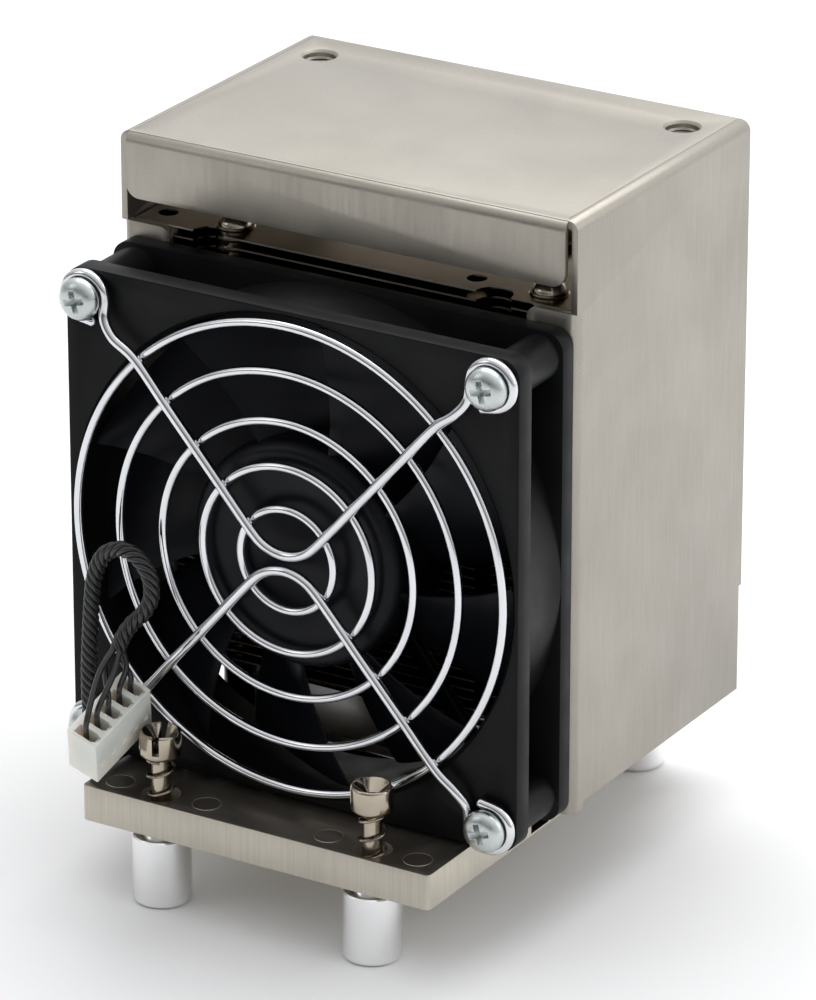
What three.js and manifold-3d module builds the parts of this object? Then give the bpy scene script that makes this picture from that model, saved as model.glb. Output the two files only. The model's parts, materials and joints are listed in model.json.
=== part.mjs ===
// A workstation processor cooler: a plated base with four captive screws, heat pipes, a fin stack
// in a sheet-metal shroud, and a 92 mm fan with a wire guard and its lead.
// Millimetres, +Z up. The fan faces -Y. The origin is the centre of the base's contact face.
import * as THREE from "three";
import { mergeVertices } from "three/addons/utils/BufferGeometryUtils.js";
import Module from "manifold-3d";

const wasm = await Module();
wasm.setup();

// ---- driving dimensions -------------------------------------------------------------------
const GAP = 0.3;

const BASE = { width: 72.2, depth: 103, height: 6.8, corner: 1 };
const PIN = { radius: 2.6, depth: 2.5, xs: [-31, -12.7, 12.7, 31], y: -46.7 };

const MOUNT = { x: 22, y: 47.2 };
const SLEEVE = { radius: 5.35, bottom: -13.8, top: -0.66, bore: 3.7, shoulder: -2.2, edge: 1 };
const NECK = { radius: 3.6, top: 2.4, bore: 2.3 };
const SPOT_FACE = { radius: 5.65, depth: 0.2 };
const WELL = { radius: 3.55, floor: 3.8, hole: 2.3 };
const SCREW = { shank: 1.85, tip: -12.5, headRadius: 3.8, headBottom: 14.2, headTop: 19.2 };
const SLOT = { width: 1.3, depth: 3.6, turns: [0.34, -0.93, 0.4, -0.3] };
const CLIP = { top: -2.5, thickness: 0.7, inner: 1.6, outer: 3.2, groove: 1.3, mouth: 1.2 };
const SPRING = { radius: 2.37, wire: 0.275, bottom: 4.1, top: 13.9, turns: 3.2 };

const SHEET = 1.2;
const SHROUD = { halfWidth: 46.5, front: -19.9, back: 41.3, lowBack: 40.5, top: 119.2, bottom: 9.4 };
const STEP_Z = 29.9;
const BEND = 2;
const LIP = { front: -21.2, halfWidth: 44.6, bottom: 107.2, corner: 2.5 };
const TAB = { inner: 36.5, top: 102.3, bottom: 8, corner: 2 };
const LID_HOLE = { x: 37.7, y: 32.3, radius: 3, collar: 3.9, depth: 2.2 };

const FAN = { size: 92, centre: 53.86, front: -38.45, rear: -20.2, corner: 3.5 };
const FLANGE = { front: 4.1, rear: 3.5 };
const FAN_HOLE = { offset: 41.25, radius: 2.3, boss: 4.1 };
const BORE = { radius: 44.5, barrel: 46 };
const MOTOR_BASE = { radius: 21, front: -23, rear: -20.4, struts: 4, strutWidth: 3, phase: 0.58 };
const TUBE = { radius: 5.6, bore: 4.6, front: -34, floor: -22.4 };

const HUB = { radius: 21.3, wall: 1.5, front: -37.6, cap: 1.8, rear: -25, shoulder: 2.6 };
const BLADE = { count: 9, tip: 43.5, root: 20.6, front: -36.1, rear: -24.6, thickness: 1.2 };
const BLADE_PHASE = 77;
const BLADE_PHASE_RADIUS = 30;
const BLADE_SWEEP = 0.52;
const BLADE_CHORD = 36;
const SHAFT = { radius: 1.5, front: -36.5, rear: -22.9 };
const YOKE = { outer: 19.5, wall: 1, front: -35.5, rear: -25.6, hole: 3.6 };
const MAGNET = { outer: 18.2, inner: 16.4, front: -34, rear: -26 };
const STATOR = { outer: 15.8, inner: 6, front: -33.2, rear: -25.4 };
const BOARD = { outer: 15.8, inner: 6.2, front: -24.7, rear: -23.5 };
const BEARING = { outer: 4.3, inner: 1.8, width: 3, fronts: [-33.6, -26] };

const GUARD = { ringWire: 0.8, ribWire: 1, ringY: -39.55, ribY: -40.95 };
const GUARD_RADII = [43.7, 34.9, 25.8, 17.4, 9.5];
const EYELET = { radius: 4.35, y: -39.8, turn: 240, steps: 8 };
const ARM = { x: 0.3, z: 1.5, round: 8.4, tilt: 48.6 };
const ARM_REACHES = [16, 24, 31];
const ARM_END = [[6.2, 6.4, -40.95], [4.55, 3, -40.2]];
const EYELET_TAIL = [1.8, 4.8];
const GUARD_SCREW = { head: 3.9, under: -41.1, height: 2.5, shank: 1.95, tip: -18.9, recess: 1.1 };

const FIN = { halfWidth: 44.7, front: -18.4, back: 39, thickness: 0.4, pitch: 5.4, flange: 0.4 };
const PACK = { count: 3, gaps: 4, bottom: 21.1 };
const TOP_FIN = { bottom: 102.1, thickness: 0.4 };
const FIN_NOTCH = { x: 29, radius: 3.5 };
const FIN_HOLES = { radius: 1.8, places: [[22.7, -13.3], [-41, -13.3]] };
const PIPE = { radius: 3, axis: 3.5, bend: 8, top: 105.2, rows: [-13, 10, 33], near: 27, far: 37 };

const LEAD = { radius: 1.35, sides: 8, steps: 34 };
const LEAD_ROUTE = [
  [-33.6, -30, 19.6], [-34.3, -30.1, 14], [-35.5, -30.3, 10.4], [-37.8, -31.6, 6.6], [-38.5, -34.8, 5.5],
  [-38.5, -38.6, 5.4], [-38.5, -42.6, 6.4], [-37.2, -46, 10.8], [-37.3, -46.3, 15.6], [-37.6, -46.2, 21.2],
  [-37.6, -46.2, 27.6], [-37.2, -46.2, 34], [-36.7, -46.2, 40.4], [-35.9, -46.2, 45.8],
  [-33.6, -46.2, 50.2], [-29.8, -46.4, 51.9], [-26.2, -46.8, 51], [-23.7, -47.2, 48.2],
  [-23.2, -47.6, 44.4], [-24.6, -48, 41.4], [-26.6, -48.6, 39.2], [-28, -49.4, 36.8], [-28.6, -50.4, 34.2],
];
const WIRE = { radius: 0.55, count: 5, sides: 8, steps: 6 };
const HOUSING = { length: 15.7, height: 10.8, depth: 6.5, corner: [-26.21, -61.5, 20.26] };
const HOUSING_AXES = {
  along: [0.1565, 0.8983, 0.4098],
  down: [-0.2656, 0.438, -0.859],
  across: [-0.951, 0.0252, 0.3067],
};
const CHANNEL = { first: 1.6, pitch: 3.12, width: 2, depth: 7.2, wall: 1.3, back: 1.2 };

const COLOURS = {
  plated: [0x9a9284, 0.35, 0.9],
  sheet: [0xb5ad9f, 0.45, 0.85],
  bright: [0xd8d8d6, 0.25, 1],
  chrome: [0xe6e6e8, 0.08, 1],
  nickel: [0xb3a58e, 0.2, 1],
  fin: [0x8f867a, 0.35, 0.9],
  copper: [0xa9907a, 0.25, 1],
  black: [0x17181b, 0.5, 0],
  winding: [0xb06a35, 0.45, 0.6],
  magnet: [0x3a3836, 0.7, 0.2],
  board: [0x1f5a35, 0.6, 0],
  nylon: [0xece9de, 0.5, 0],
  wire: [0x141414, 0.5, 0],
  brass: [0xc2a662, 0.3, 1],
};

// ---- solid helpers ------------------------------------------------------------------------
function weld(geometry) {
  const bare = geometry.clone();
  bare.deleteAttribute("normal");
  bare.deleteAttribute("uv");
  return mergeVertices(bare, 1e-4);
}

function toSolid(geometry) {
  const welded = weld(geometry);
  const vertProperties = new Float32Array(welded.attributes.position.array);
  const triVerts = new Uint32Array(welded.index.array);
  return new wasm.Manifold(new wasm.Mesh({ numProp: 3, vertProperties, triVerts }));
}

function toGeometry(solid) {
  const mesh = solid.getMesh();
  const geometry = new THREE.BufferGeometry();
  geometry.setAttribute("position", new THREE.BufferAttribute(new Float32Array(mesh.vertProperties), 3));
  geometry.setIndex(new THREE.BufferAttribute(new Uint32Array(mesh.triVerts), 1));
  geometry.computeVertexNormals();
  return geometry;
}

function join(...geometries) {
  return toGeometry(geometries.map(toSolid).reduce((whole, next) => whole.add(next)));
}

function cut(geometry, ...tools) {
  return toGeometry(tools.map(toSolid).reduce((whole, tool) => whole.subtract(tool), toSolid(geometry)));
}

function overlap(first, second) {
  return toGeometry(toSolid(first).intersect(toSolid(second)));
}

// ---- shape helpers ------------------------------------------------------------------------
function box(x0, x1, y0, y1, z0, z1) {
  const geometry = new THREE.BoxGeometry(x1 - x0, y1 - y0, z1 - z0);
  return geometry.translate((x0 + x1) / 2, (y0 + y1) / 2, (z0 + z1) / 2);
}

function uprightCylinder(x, y, radius, z0, z1, sides = 16) {
  const geometry = new THREE.CylinderGeometry(radius, radius, z1 - z0, sides);
  return geometry.rotateX(Math.PI / 2).translate(x, y, (z0 + z1) / 2);
}

function levelCylinder(x, z, radius, y0, y1, sides = 16) {
  return new THREE.CylinderGeometry(radius, radius, y1 - y0, sides).translate(x, (y0 + y1) / 2, z);
}

function rectangle(x0, x1, y0, y1, radii) {
  const [lowLeft, lowRight, highRight, highLeft] = radii;
  const shape = new THREE.Shape();
  shape.moveTo(x0 + lowLeft, y0);
  shape.lineTo(x1 - lowRight, y0);
  if (lowRight) shape.absarc(x1 - lowRight, y0 + lowRight, lowRight, -Math.PI / 2, 0);
  shape.lineTo(x1, y1 - highRight);
  if (highRight) shape.absarc(x1 - highRight, y1 - highRight, highRight, 0, Math.PI / 2);
  shape.lineTo(x0 + highLeft, y1);
  if (highLeft) shape.absarc(x0 + highLeft, y1 - highLeft, highLeft, Math.PI / 2, Math.PI);
  shape.lineTo(x0, y0 + lowLeft);
  if (lowLeft) shape.absarc(x0 + lowLeft, y0 + lowLeft, lowLeft, Math.PI, 1.5 * Math.PI);
  return shape;
}

function plateUp(shape, z0, z1, curveSegments = 4) {
  const settings = { depth: z1 - z0, bevelEnabled: false, curveSegments };
  return new THREE.ExtrudeGeometry(shape, settings).translate(0, 0, z0);
}

// Extrudes a shape drawn in X and Z from y0 back to y1.
function plateBack(shape, y0, y1, curveSegments = 4) {
  const settings = { depth: y1 - y0, bevelEnabled: false, curveSegments };
  return new THREE.ExtrudeGeometry(shape, settings).rotateX(Math.PI / 2).translate(0, y1, 0);
}

// Turns a profile of [radius, y] points about Y, in the order that leaves its faces pointing out.
function turnedAboutY(profile, sides) {
  let area = 0;
  profile.forEach(([radius, y], i) => {
    const [nextRadius, nextY] = profile[(i + 1) % profile.length];
    area += radius * nextY - nextRadius * y;
  });
  const points = profile.map(([radius, y]) => new THREE.Vector2(radius, y));
  return new THREE.LatheGeometry(area > 0 ? points : points.reverse(), sides);
}

function turned(profile, sides) {
  return turnedAboutY(profile, sides).rotateX(Math.PI / 2);
}

function turnedAboutFan(profile, sides) {
  return turnedAboutY(profile, sides).translate(0, 0, FAN.centre);
}

function disc(radius, sides) {
  const points = [];
  for (let i = 0; i < sides; i += 1) {
    const angle = (2 * Math.PI * i) / sides;
    points.push(new THREE.Vector2(radius * Math.cos(angle), radius * Math.sin(angle)));
  }
  return new THREE.Shape(points);
}

function tubeAlong(curve, radius, sides, steps) {
  return new THREE.ExtrudeGeometry(disc(radius, sides), { steps, bevelEnabled: false, extrudePath: curve });
}

function smoothCurve(points) {
  return new THREE.CatmullRomCurve3(points.map((point) => new THREE.Vector3(...point)), false, "centripetal");
}

const model = new THREE.Group();

function addPiece(name, geometry, look) {
  const [color, roughness, metalness] = COLOURS[look];
  const material = new THREE.MeshStandardMaterial({ color, roughness, metalness });
  const mesh = new THREE.Mesh(geometry, material);
  mesh.name = name;
  model.add(mesh);
  return mesh;
}

const CORNERS = [
  { name: "front_left", x: -1, y: -1 },
  { name: "front_right", x: 1, y: -1 },
  { name: "rear_left", x: -1, y: 1 },
  { name: "rear_right", x: 1, y: 1 },
];

// ---- base -----------------------------------------------------------------------------------
function pipeSign(row) {
  return row % 2 === 0 ? 1 : -1;
}

function pipeLegs(row) {
  const sign = pipeSign(row);
  return [-sign * PIPE.near, sign * PIPE.far].sort((a, b) => a - b);
}

// A quarter turn from the run in the base up into a leg. It reaches a little way past both ends.
function pipeBend(x, y, side) {
  const arc = new THREE.Curve();
  const over = 0.02;
  arc.getPoint = (t) => {
    const angle = (-over + t * (1 + 2 * over)) * (Math.PI / 2);
    const inward = PIPE.bend * (1 - Math.sin(angle));
    return new THREE.Vector3(x - side * inward, y, PIPE.axis + PIPE.bend * (1 - Math.cos(angle)));
  };
  return tubeAlong(arc, PIPE.radius, 8, 5);
}

// The groove is as wide as the pipe and open at the top, so that the bends can rise out of it.
function pipeGroove(row) {
  const y = PIPE.rows[row];
  const reach = PIPE.radius + GAP;
  return box(-BASE.width, BASE.width, y - reach, y + reach, PIPE.axis - reach + 0.1, BASE.height + 1);
}

function makeBase() {
  const halfWidth = BASE.width / 2;
  const halfDepth = BASE.depth / 2;
  const radii = [BASE.corner, BASE.corner, BASE.corner, BASE.corner];
  const outline = rectangle(-halfWidth, halfWidth, -halfDepth, halfDepth, radii);
  const tools = PIPE.rows.map((_, row) => pipeGroove(row));
  for (const corner of CORNERS) {
    const x = corner.x * MOUNT.x;
    const y = corner.y * MOUNT.y;
    tools.push(uprightCylinder(x, y, WELL.radius, WELL.floor, BASE.height + 1));
    tools.push(uprightCylinder(x, y, WELL.hole, 1, BASE.height, 16));
    tools.push(uprightCylinder(x, y, NECK.radius + GAP, -1, NECK.top + GAP));
    tools.push(uprightCylinder(x, y, SPOT_FACE.radius, -1, SPOT_FACE.depth));
  }
  for (const x of PIN.xs) {
    tools.push(uprightCylinder(x, PIN.y, PIN.radius + GAP, BASE.height - PIN.depth - GAP, BASE.height + 1));
  }
  addPiece("base_plate", cut(plateUp(outline, 0, BASE.height), ...tools), "plated");
  PIN.xs.forEach((x, index) => {
    const pin = uprightCylinder(x, PIN.y, PIN.radius, BASE.height - PIN.depth, BASE.height);
    addPiece(`base_pin_${index + 1}`, pin, "plated");
  });
}

// ---- captive screws -------------------------------------------------------------------------
function makeSleeve(corner) {
  const profile = [
    [SLEEVE.bore, SLEEVE.bottom],
    [SLEEVE.radius - SLEEVE.edge, SLEEVE.bottom],
    [SLEEVE.radius - SLEEVE.edge * 0.3, SLEEVE.bottom + SLEEVE.edge * 0.3],
    [SLEEVE.radius, SLEEVE.bottom + SLEEVE.edge],
    [SLEEVE.radius, SLEEVE.top],
    [NECK.radius, SLEEVE.top],
    [NECK.radius, NECK.top],
    [NECK.bore, NECK.top],
    [NECK.bore, SLEEVE.shoulder],
    [SLEEVE.bore, SLEEVE.shoulder],
    [SLEEVE.bore, SLEEVE.bottom],
  ];
  const sleeve = turned(profile, 12).translate(corner.x * MOUNT.x, corner.y * MOUNT.y, 0);
  addPiece(`sleeve_${corner.name}`, sleeve, "bright");
}

function makeCaptiveScrew(corner, index) {
  const grooveTop = CLIP.top + (CLIP.groove - CLIP.thickness) / 2;
  const grooveRadius = CLIP.inner - GAP;
  const profile = [
    [0, SCREW.tip],
    [SCREW.shank - 0.5, SCREW.tip],
    [SCREW.shank, SCREW.tip + 0.5],
    [SCREW.shank, grooveTop - CLIP.groove],
    [grooveRadius, grooveTop - CLIP.groove],
    [grooveRadius, grooveTop],
    [SCREW.shank, grooveTop],
    [SCREW.shank, SCREW.headBottom],
    [SCREW.headRadius - 0.9, SCREW.headBottom],
    [SCREW.headRadius, SCREW.headBottom + 0.9],
    [SCREW.headRadius, SCREW.headTop - 0.7],
    [SCREW.headRadius - 0.6, SCREW.headTop],
    [2.4, SCREW.headTop],
    [0, SCREW.headTop - 2.2],
  ];
  const reach = SCREW.headRadius + 1;
  const slotFloor = SCREW.headTop - SLOT.depth;
  const slot = box(-reach, reach, -SLOT.width / 2, SLOT.width / 2, slotFloor, SCREW.headTop + 1);
  slot.rotateZ(SLOT.turns[index] - Math.PI / 2);
  const screw = cut(turned(profile, 12), slot);
  screw.translate(corner.x * MOUNT.x, corner.y * MOUNT.y, 0);
  addPiece(`captive_screw_${corner.name}`, screw, "nickel");
}

function makeClip(corner) {
  const opening = Math.asin(CLIP.mouth / CLIP.outer);
  const innerOpening = Math.asin(CLIP.mouth / CLIP.inner);
  const shape = new THREE.Shape();
  shape.absarc(0, 0, CLIP.outer, opening, 2 * Math.PI - opening);
  shape.absarc(0, 0, CLIP.inner, 2 * Math.PI - innerOpening, innerOpening, true);
  const clip = plateUp(shape, CLIP.top - CLIP.thickness, CLIP.top, 10);
  clip.translate(corner.x * MOUNT.x, corner.y * MOUNT.y, 0);
  addPiece(`retaining_clip_${corner.name}`, clip, "bright");
}

function makeSpring(corner) {
  const points = [];
  const count = 24;
  for (let i = 0; i <= count; i += 1) {
    const angle = (2 * Math.PI * SPRING.turns * i) / count;
    const rise = SPRING.top - SPRING.bottom - 2 * SPRING.wire;
    const height = SPRING.bottom + SPRING.wire + (rise * i) / count;
    points.push([SPRING.radius * Math.cos(angle), SPRING.radius * Math.sin(angle), height]);
  }
  const spring = tubeAlong(smoothCurve(points), SPRING.wire, 5, 28);
  spring.translate(corner.x * MOUNT.x, corner.y * MOUNT.y, 0);
  addPiece(`screw_spring_${corner.name}`, spring, "bright");
}

// ---- heat pipes and fins ----------------------------------------------------------------------
function makeHeatPipes() {
  PIPE.rows.forEach((y, row) => {
    const [left, right] = pipeLegs(row);
    const legStart = PIPE.axis + PIPE.bend;
    const runLength = right - left - 2 * PIPE.bend;
    const run = new THREE.CylinderGeometry(PIPE.radius, PIPE.radius, runLength, 8)
      .rotateZ(Math.PI / 2).translate((left + right) / 2, y, PIPE.axis);
    const pipe = join(
      uprightCylinder(left, y, PIPE.radius, legStart, PIPE.top, 8),
      pipeBend(left, y, -1),
      run,
      pipeBend(right, y, 1),
      uprightCylinder(right, y, PIPE.radius, legStart, PIPE.top, 8),
    );
    addPiece(`heat_pipe_${row + 1}`, pipe, "copper");
  });
}

function pipeClearances(z0, z1) {
  const tools = [];
  PIPE.rows.forEach((y, row) => {
    for (const x of pipeLegs(row)) {
      tools.push(uprightCylinder(x, y, PIPE.radius + 0.85, z0 - 1, z1 + 1, 6));
    }
  });
  return tools;
}

// A pack is a ladder drawn in X and Z: fins joined at both sides by their folded edges.
function makeFinPack(index) {
  const height = PACK.gaps * FIN.pitch + FIN.thickness;
  const bottom = PACK.bottom + index * (height + FIN.pitch - FIN.thickness);
  const none = [0, 0, 0, 0];
  const ladder = rectangle(-FIN.halfWidth, FIN.halfWidth, bottom, bottom + height, none);
  for (let gap = 0; gap < PACK.gaps; gap += 1) {
    const low = bottom + gap * FIN.pitch + FIN.thickness;
    const high = bottom + (gap + 1) * FIN.pitch;
    const inner = FIN.halfWidth - FIN.flange;
    ladder.holes.push(rectangle(-inner, inner, low, high, none));
  }
  const pack = cut(plateBack(ladder, FIN.front, FIN.back), ...pipeClearances(bottom, bottom + height));
  addPiece(`fin_pack_${index + 1}`, pack, "fin");
}

function makeTopFin() {
  const outline = rectangle(-FIN.halfWidth, FIN.halfWidth, FIN.front, FIN.back, [0, 0, 0, 0]);
  const top = TOP_FIN.bottom + TOP_FIN.thickness;
  const tools = pipeClearances(TOP_FIN.bottom, top);
  for (const side of [-1, 1]) {
    const x = side * FIN_NOTCH.x;
    tools.push(uprightCylinder(x, FIN.front, FIN_NOTCH.radius, TOP_FIN.bottom - 1, top + 1, 16));
  }
  for (const [x, y] of FIN_HOLES.places) {
    tools.push(uprightCylinder(x, y, FIN_HOLES.radius, TOP_FIN.bottom - 1, top + 1, 12));
  }
  addPiece("top_fin", cut(plateUp(outline, TOP_FIN.bottom, top), ...tools), "fin");
}

// ---- shroud -----------------------------------------------------------------------------------
function archShape(inset) {
  const half = SHROUD.halfWidth - inset;
  const radius = BEND - inset;
  return rectangle(-half, half, SHROUD.bottom - inset, SHROUD.top - inset, [0, 0, radius, radius]);
}

function makeLidAndSides() {
  const outer = plateBack(archShape(0), SHROUD.front, SHROUD.back);
  const inner = plateBack(archShape(SHEET), SHROUD.front - 1, SHROUD.back + 1);
  const lowBack = box(-60, 60, SHROUD.lowBack, SHROUD.back + 1, 0, STEP_Z);
  return cut(outer, inner, lowBack);
}

// The lip is drawn in Y and Z, then turned so that it runs along X.
function makeLip() {
  const back = SHROUD.front + 3;
  const lid = rectangle(LIP.front, back, LIP.bottom, SHROUD.top, [0, 0, 0, BEND]);
  const inside = [0, 0, 0, BEND - SHEET];
  const hollow = rectangle(LIP.front + SHEET, back + 1, LIP.bottom - 1, SHROUD.top - SHEET, inside);
  const run = (shape) => {
    const settings = { depth: 2 * LIP.halfWidth, bevelEnabled: false, curveSegments: 4 };
    return new THREE.ExtrudeGeometry(shape, settings).rotateX(Math.PI / 2).rotateZ(Math.PI / 2)
      .translate(-LIP.halfWidth, 0, 0);
  };
  const corners = [LIP.corner, LIP.corner, 0, 0];
  const face = rectangle(-LIP.halfWidth, LIP.halfWidth, LIP.bottom, SHROUD.top + 1, corners);
  return overlap(cut(run(lid), run(hollow)), plateBack(face, LIP.front - 1, back + 1, 5));
}

function makeTab(side) {
  const outerEdge = SHROUD.halfWidth - SHEET / 2;
  const right = [0, 0, 0, TAB.corner];
  const left = [0, 0, TAB.corner, 0];
  const shape = side > 0
    ? rectangle(TAB.inner, outerEdge, TAB.bottom, TAB.top, right)
    : rectangle(-outerEdge, -TAB.inner, TAB.bottom, TAB.top, left);
  return plateBack(shape, SHROUD.front, SHROUD.front + SHEET);
}

function makeShroud() {
  const parts = [makeLidAndSides(), makeLip(), makeTab(1), makeTab(-1)];
  const holes = [];
  for (const side of [-1, 1]) {
    const collarBottom = SHROUD.top - SHEET - LID_HOLE.depth;
    const holeX = side * LID_HOLE.x;
    const collarTop = SHROUD.top - SHEET / 2;
    parts.push(uprightCylinder(holeX, LID_HOLE.y, LID_HOLE.collar, collarBottom, collarTop));
    holes.push(uprightCylinder(holeX, LID_HOLE.y, LID_HOLE.radius, collarBottom - 1, SHROUD.top + 1));
    for (const level of [-1, 1]) {
      const z = FAN.centre + level * FAN_HOLE.offset;
      const x = side * FAN_HOLE.offset;
      holes.push(levelCylinder(x, z, GUARD_SCREW.shank + GAP, SHROUD.front - 2, SHROUD.front + 3, 16));
    }
  }
  addPiece("shroud", cut(join(...parts), ...holes), "sheet");
}

// ---- fan --------------------------------------------------------------------------------------
function fanCorners() {
  const places = [];
  for (const [level, vertical] of [["upper", 1], ["lower", -1]]) {
    for (const [hand, across] of [["left", -1], ["right", 1]]) {
      places.push({
        name: `${level}_${hand}`,
        x: across * FAN_HOLE.offset,
        z: FAN.centre + vertical * FAN_HOLE.offset,
        across,
        vertical,
      });
    }
  }
  return places;
}

function makeFanFrame() {
  const half = FAN.size / 2;
  const radii = [FAN.corner, FAN.corner, FAN.corner, FAN.corner];
  const square = rectangle(-half, half, FAN.centre - half, FAN.centre + half, radii);
  const parts = [
    plateBack(square, FAN.front, FAN.front + FLANGE.front, 3),
    plateBack(square, FAN.rear - FLANGE.rear, FAN.rear, 3),
    levelCylinder(0, FAN.centre, BORE.barrel, FAN.front + 1, FAN.rear - 1, 40),
  ];
  const holes = [levelCylinder(0, FAN.centre, BORE.radius, FAN.front - 1, FAN.rear + 1, 40)];
  for (const place of fanCorners()) {
    parts.push(levelCylinder(place.x, place.z, FAN_HOLE.boss, FAN.front + 1, FAN.rear - 1, 16));
    holes.push(levelCylinder(place.x, place.z, FAN_HOLE.radius, FAN.front - 1, FAN.rear + 1, 16));
  }
  const clipBox = box(-half, half, FAN.front, FAN.rear, FAN.centre - half, FAN.centre + half);
  const shell = overlap(cut(join(...parts), ...holes), clipBox);
  const carrier = [levelCylinder(0, FAN.centre, MOTOR_BASE.radius, MOTOR_BASE.front, MOTOR_BASE.rear, 36)];
  carrier.push(levelCylinder(0, FAN.centre, TUBE.radius, TUBE.front, MOTOR_BASE.rear, 20));
  for (let strut = 0; strut < MOTOR_BASE.struts; strut += 1) {
    const bar = box(MOTOR_BASE.radius - 1, BORE.radius + 0.7, MOTOR_BASE.front + 0.4, MOTOR_BASE.rear,
      -MOTOR_BASE.strutWidth / 2, MOTOR_BASE.strutWidth / 2);
    const angle = ((strut + MOTOR_BASE.phase) * 2 * Math.PI) / MOTOR_BASE.struts;
    carrier.push(bar.rotateY(angle).translate(0, 0, FAN.centre));
  }
  const bearingBore = levelCylinder(0, FAN.centre, TUBE.bore, TUBE.front - 1, TUBE.floor, 20);
  addPiece("fan_frame", cut(join(shell, ...carrier), bearingBore), "black");
}

// A thin block bent onto the blade's swept and twisted surface.
function makeBlade(index) {
  const geometry = new THREE.BoxGeometry(1, 1, 1, 4, 1, 3);
  const position = geometry.attributes.position;
  for (let i = 0; i < position.count; i += 1) {
    const alongChord = position.getX(i) + 0.5;
    const radius = BLADE.root + (position.getZ(i) + 0.5) * (BLADE.tip - BLADE.root);
    const lead = BLADE_PHASE + BLADE_SWEEP * (radius - BLADE_PHASE_RADIUS) + (index * 360) / BLADE.count;
    const camber = 1.3 * Math.sin(Math.PI * alongChord);
    const angle = THREE.MathUtils.degToRad(lead - BLADE_CHORD * alongChord);
    const side = position.getY(i) * BLADE.thickness;
    const y = BLADE.front + (BLADE.rear - BLADE.front) * alongChord + camber + side * 0.85;
    const turn = angle + (side * 0.5) / radius;
    position.setXYZ(i, radius * Math.cos(turn), y, FAN.centre + radius * Math.sin(turn));
  }
  return geometry;
}

function makeImpeller() {
  const cap = HUB.front + HUB.cap;
  const inner = HUB.radius - HUB.wall;
  const profile = [
    [0, HUB.front],
    [0, cap + 1.6],
    [3, cap + 1.6],
    [3, cap],
    [inner, cap],
    [inner, HUB.rear],
    [HUB.radius, HUB.rear],
    [HUB.radius, HUB.front + HUB.shoulder],
    [HUB.radius - 0.7, HUB.front + 0.9],
    [HUB.radius - HUB.shoulder, HUB.front],
    [0, HUB.front],
  ];
  const parts = [turnedAboutFan(profile, 24)];
  for (let index = 0; index < BLADE.count; index += 1) {
    parts.push(makeBlade(index));
  }
  const shaftBore = levelCylinder(0, FAN.centre, SHAFT.radius + GAP, SHAFT.front - GAP, HUB.rear, 12);
  addPiece("impeller", cut(join(...parts), shaftBore), "black");
}

function ringAboutFan(outer, inner, y0, y1, sides) {
  return turnedAboutFan([[inner, y0], [outer, y0], [outer, y1], [inner, y1], [inner, y0]], sides);
}

function makeMotor() {
  addPiece("fan_shaft", levelCylinder(0, FAN.centre, SHAFT.radius, SHAFT.front, SHAFT.rear, 12), "bright");
  const yokeInner = YOKE.outer - YOKE.wall;
  const yoke = [
    [YOKE.hole, YOKE.front], [YOKE.outer, YOKE.front], [YOKE.outer, YOKE.rear], [yokeInner, YOKE.rear],
    [yokeInner, YOKE.front + YOKE.wall], [YOKE.hole, YOKE.front + YOKE.wall], [YOKE.hole, YOKE.front],
  ];
  addPiece("rotor_yoke", turnedAboutFan(yoke, 20), "bright");
  addPiece("rotor_magnet", ringAboutFan(MAGNET.outer, MAGNET.inner, MAGNET.front, MAGNET.rear, 20), "magnet");
  const slots = [];
  for (let slot = 0; slot < 4; slot += 1) {
    const gap = box(STATOR.inner + 2, STATOR.outer + 1, STATOR.front - 1, STATOR.rear + 1, -1.2, 1.2);
    slots.push(gap.rotateY((slot * Math.PI) / 2).translate(0, 0, FAN.centre));
  }
  const stator = ringAboutFan(STATOR.outer, STATOR.inner, STATOR.front, STATOR.rear, 16);
  addPiece("stator", cut(stator, ...slots), "winding");
  addPiece("motor_board", ringAboutFan(BOARD.outer, BOARD.inner, BOARD.front, BOARD.rear, 20), "board");
  BEARING.fronts.forEach((front, index) => {
    const bearing = ringAboutFan(BEARING.outer, BEARING.inner, front, front + BEARING.width, 16);
    addPiece(`bearing_${index === 0 ? "front" : "rear"}`, bearing, "bright");
  });
}

// ---- guard ------------------------------------------------------------------------------------
function makeRing(radius) {
  const steps = Math.round(14 + radius * 0.5);
  const ring = new THREE.TorusGeometry(radius, GUARD.ringWire, 5, steps);
  return ring.rotateX(Math.PI / 2).translate(0, GUARD.ringY, FAN.centre);
}

// Half of a rib, from beside the middle of its bend out to the cut end of its eyelet.
// The side is -1 or 1, and the level is 1 for the upper rib and -1 for the lower one.
function ribHalf(side, level) {
  const screw = FAN_HOLE.offset;
  const tilt = (ARM.tilt * Math.PI) / 180;
  const points = [];
  const addFromCentre = (x, z) => points.push([ARM.x + side * x, GUARD.ribY, FAN.centre + level * z]);
  const addFromScrew = (inward, towards, y) => {
    points.push([side * (screw - inward), y, FAN.centre + level * (screw - towards)]);
  };
  for (const share of [1 / 3, 2 / 3, 1]) {
    addFromCentre(ARM.round * Math.sin(tilt * share), ARM.z + ARM.round * (1 - Math.cos(tilt * share)));
  }
  const bendX = ARM.round * Math.sin(tilt);
  const bendZ = ARM.z + ARM.round * (1 - Math.cos(tilt));
  for (const x of ARM_REACHES) addFromCentre(x, bendZ + (x - bendX) * Math.tan(tilt));
  for (const [inward, towards, y] of ARM_END) addFromScrew(inward, towards, y);
  for (let i = 0; i <= EYELET.steps; i += 1) {
    const angle = (EYELET.turn * Math.PI * i) / (180 * EYELET.steps);
    addFromScrew(EYELET.radius * Math.cos(angle), -EYELET.radius * Math.sin(angle), EYELET.y);
  }
  addFromScrew(...EYELET_TAIL, EYELET.y);
  return points;
}

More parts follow.
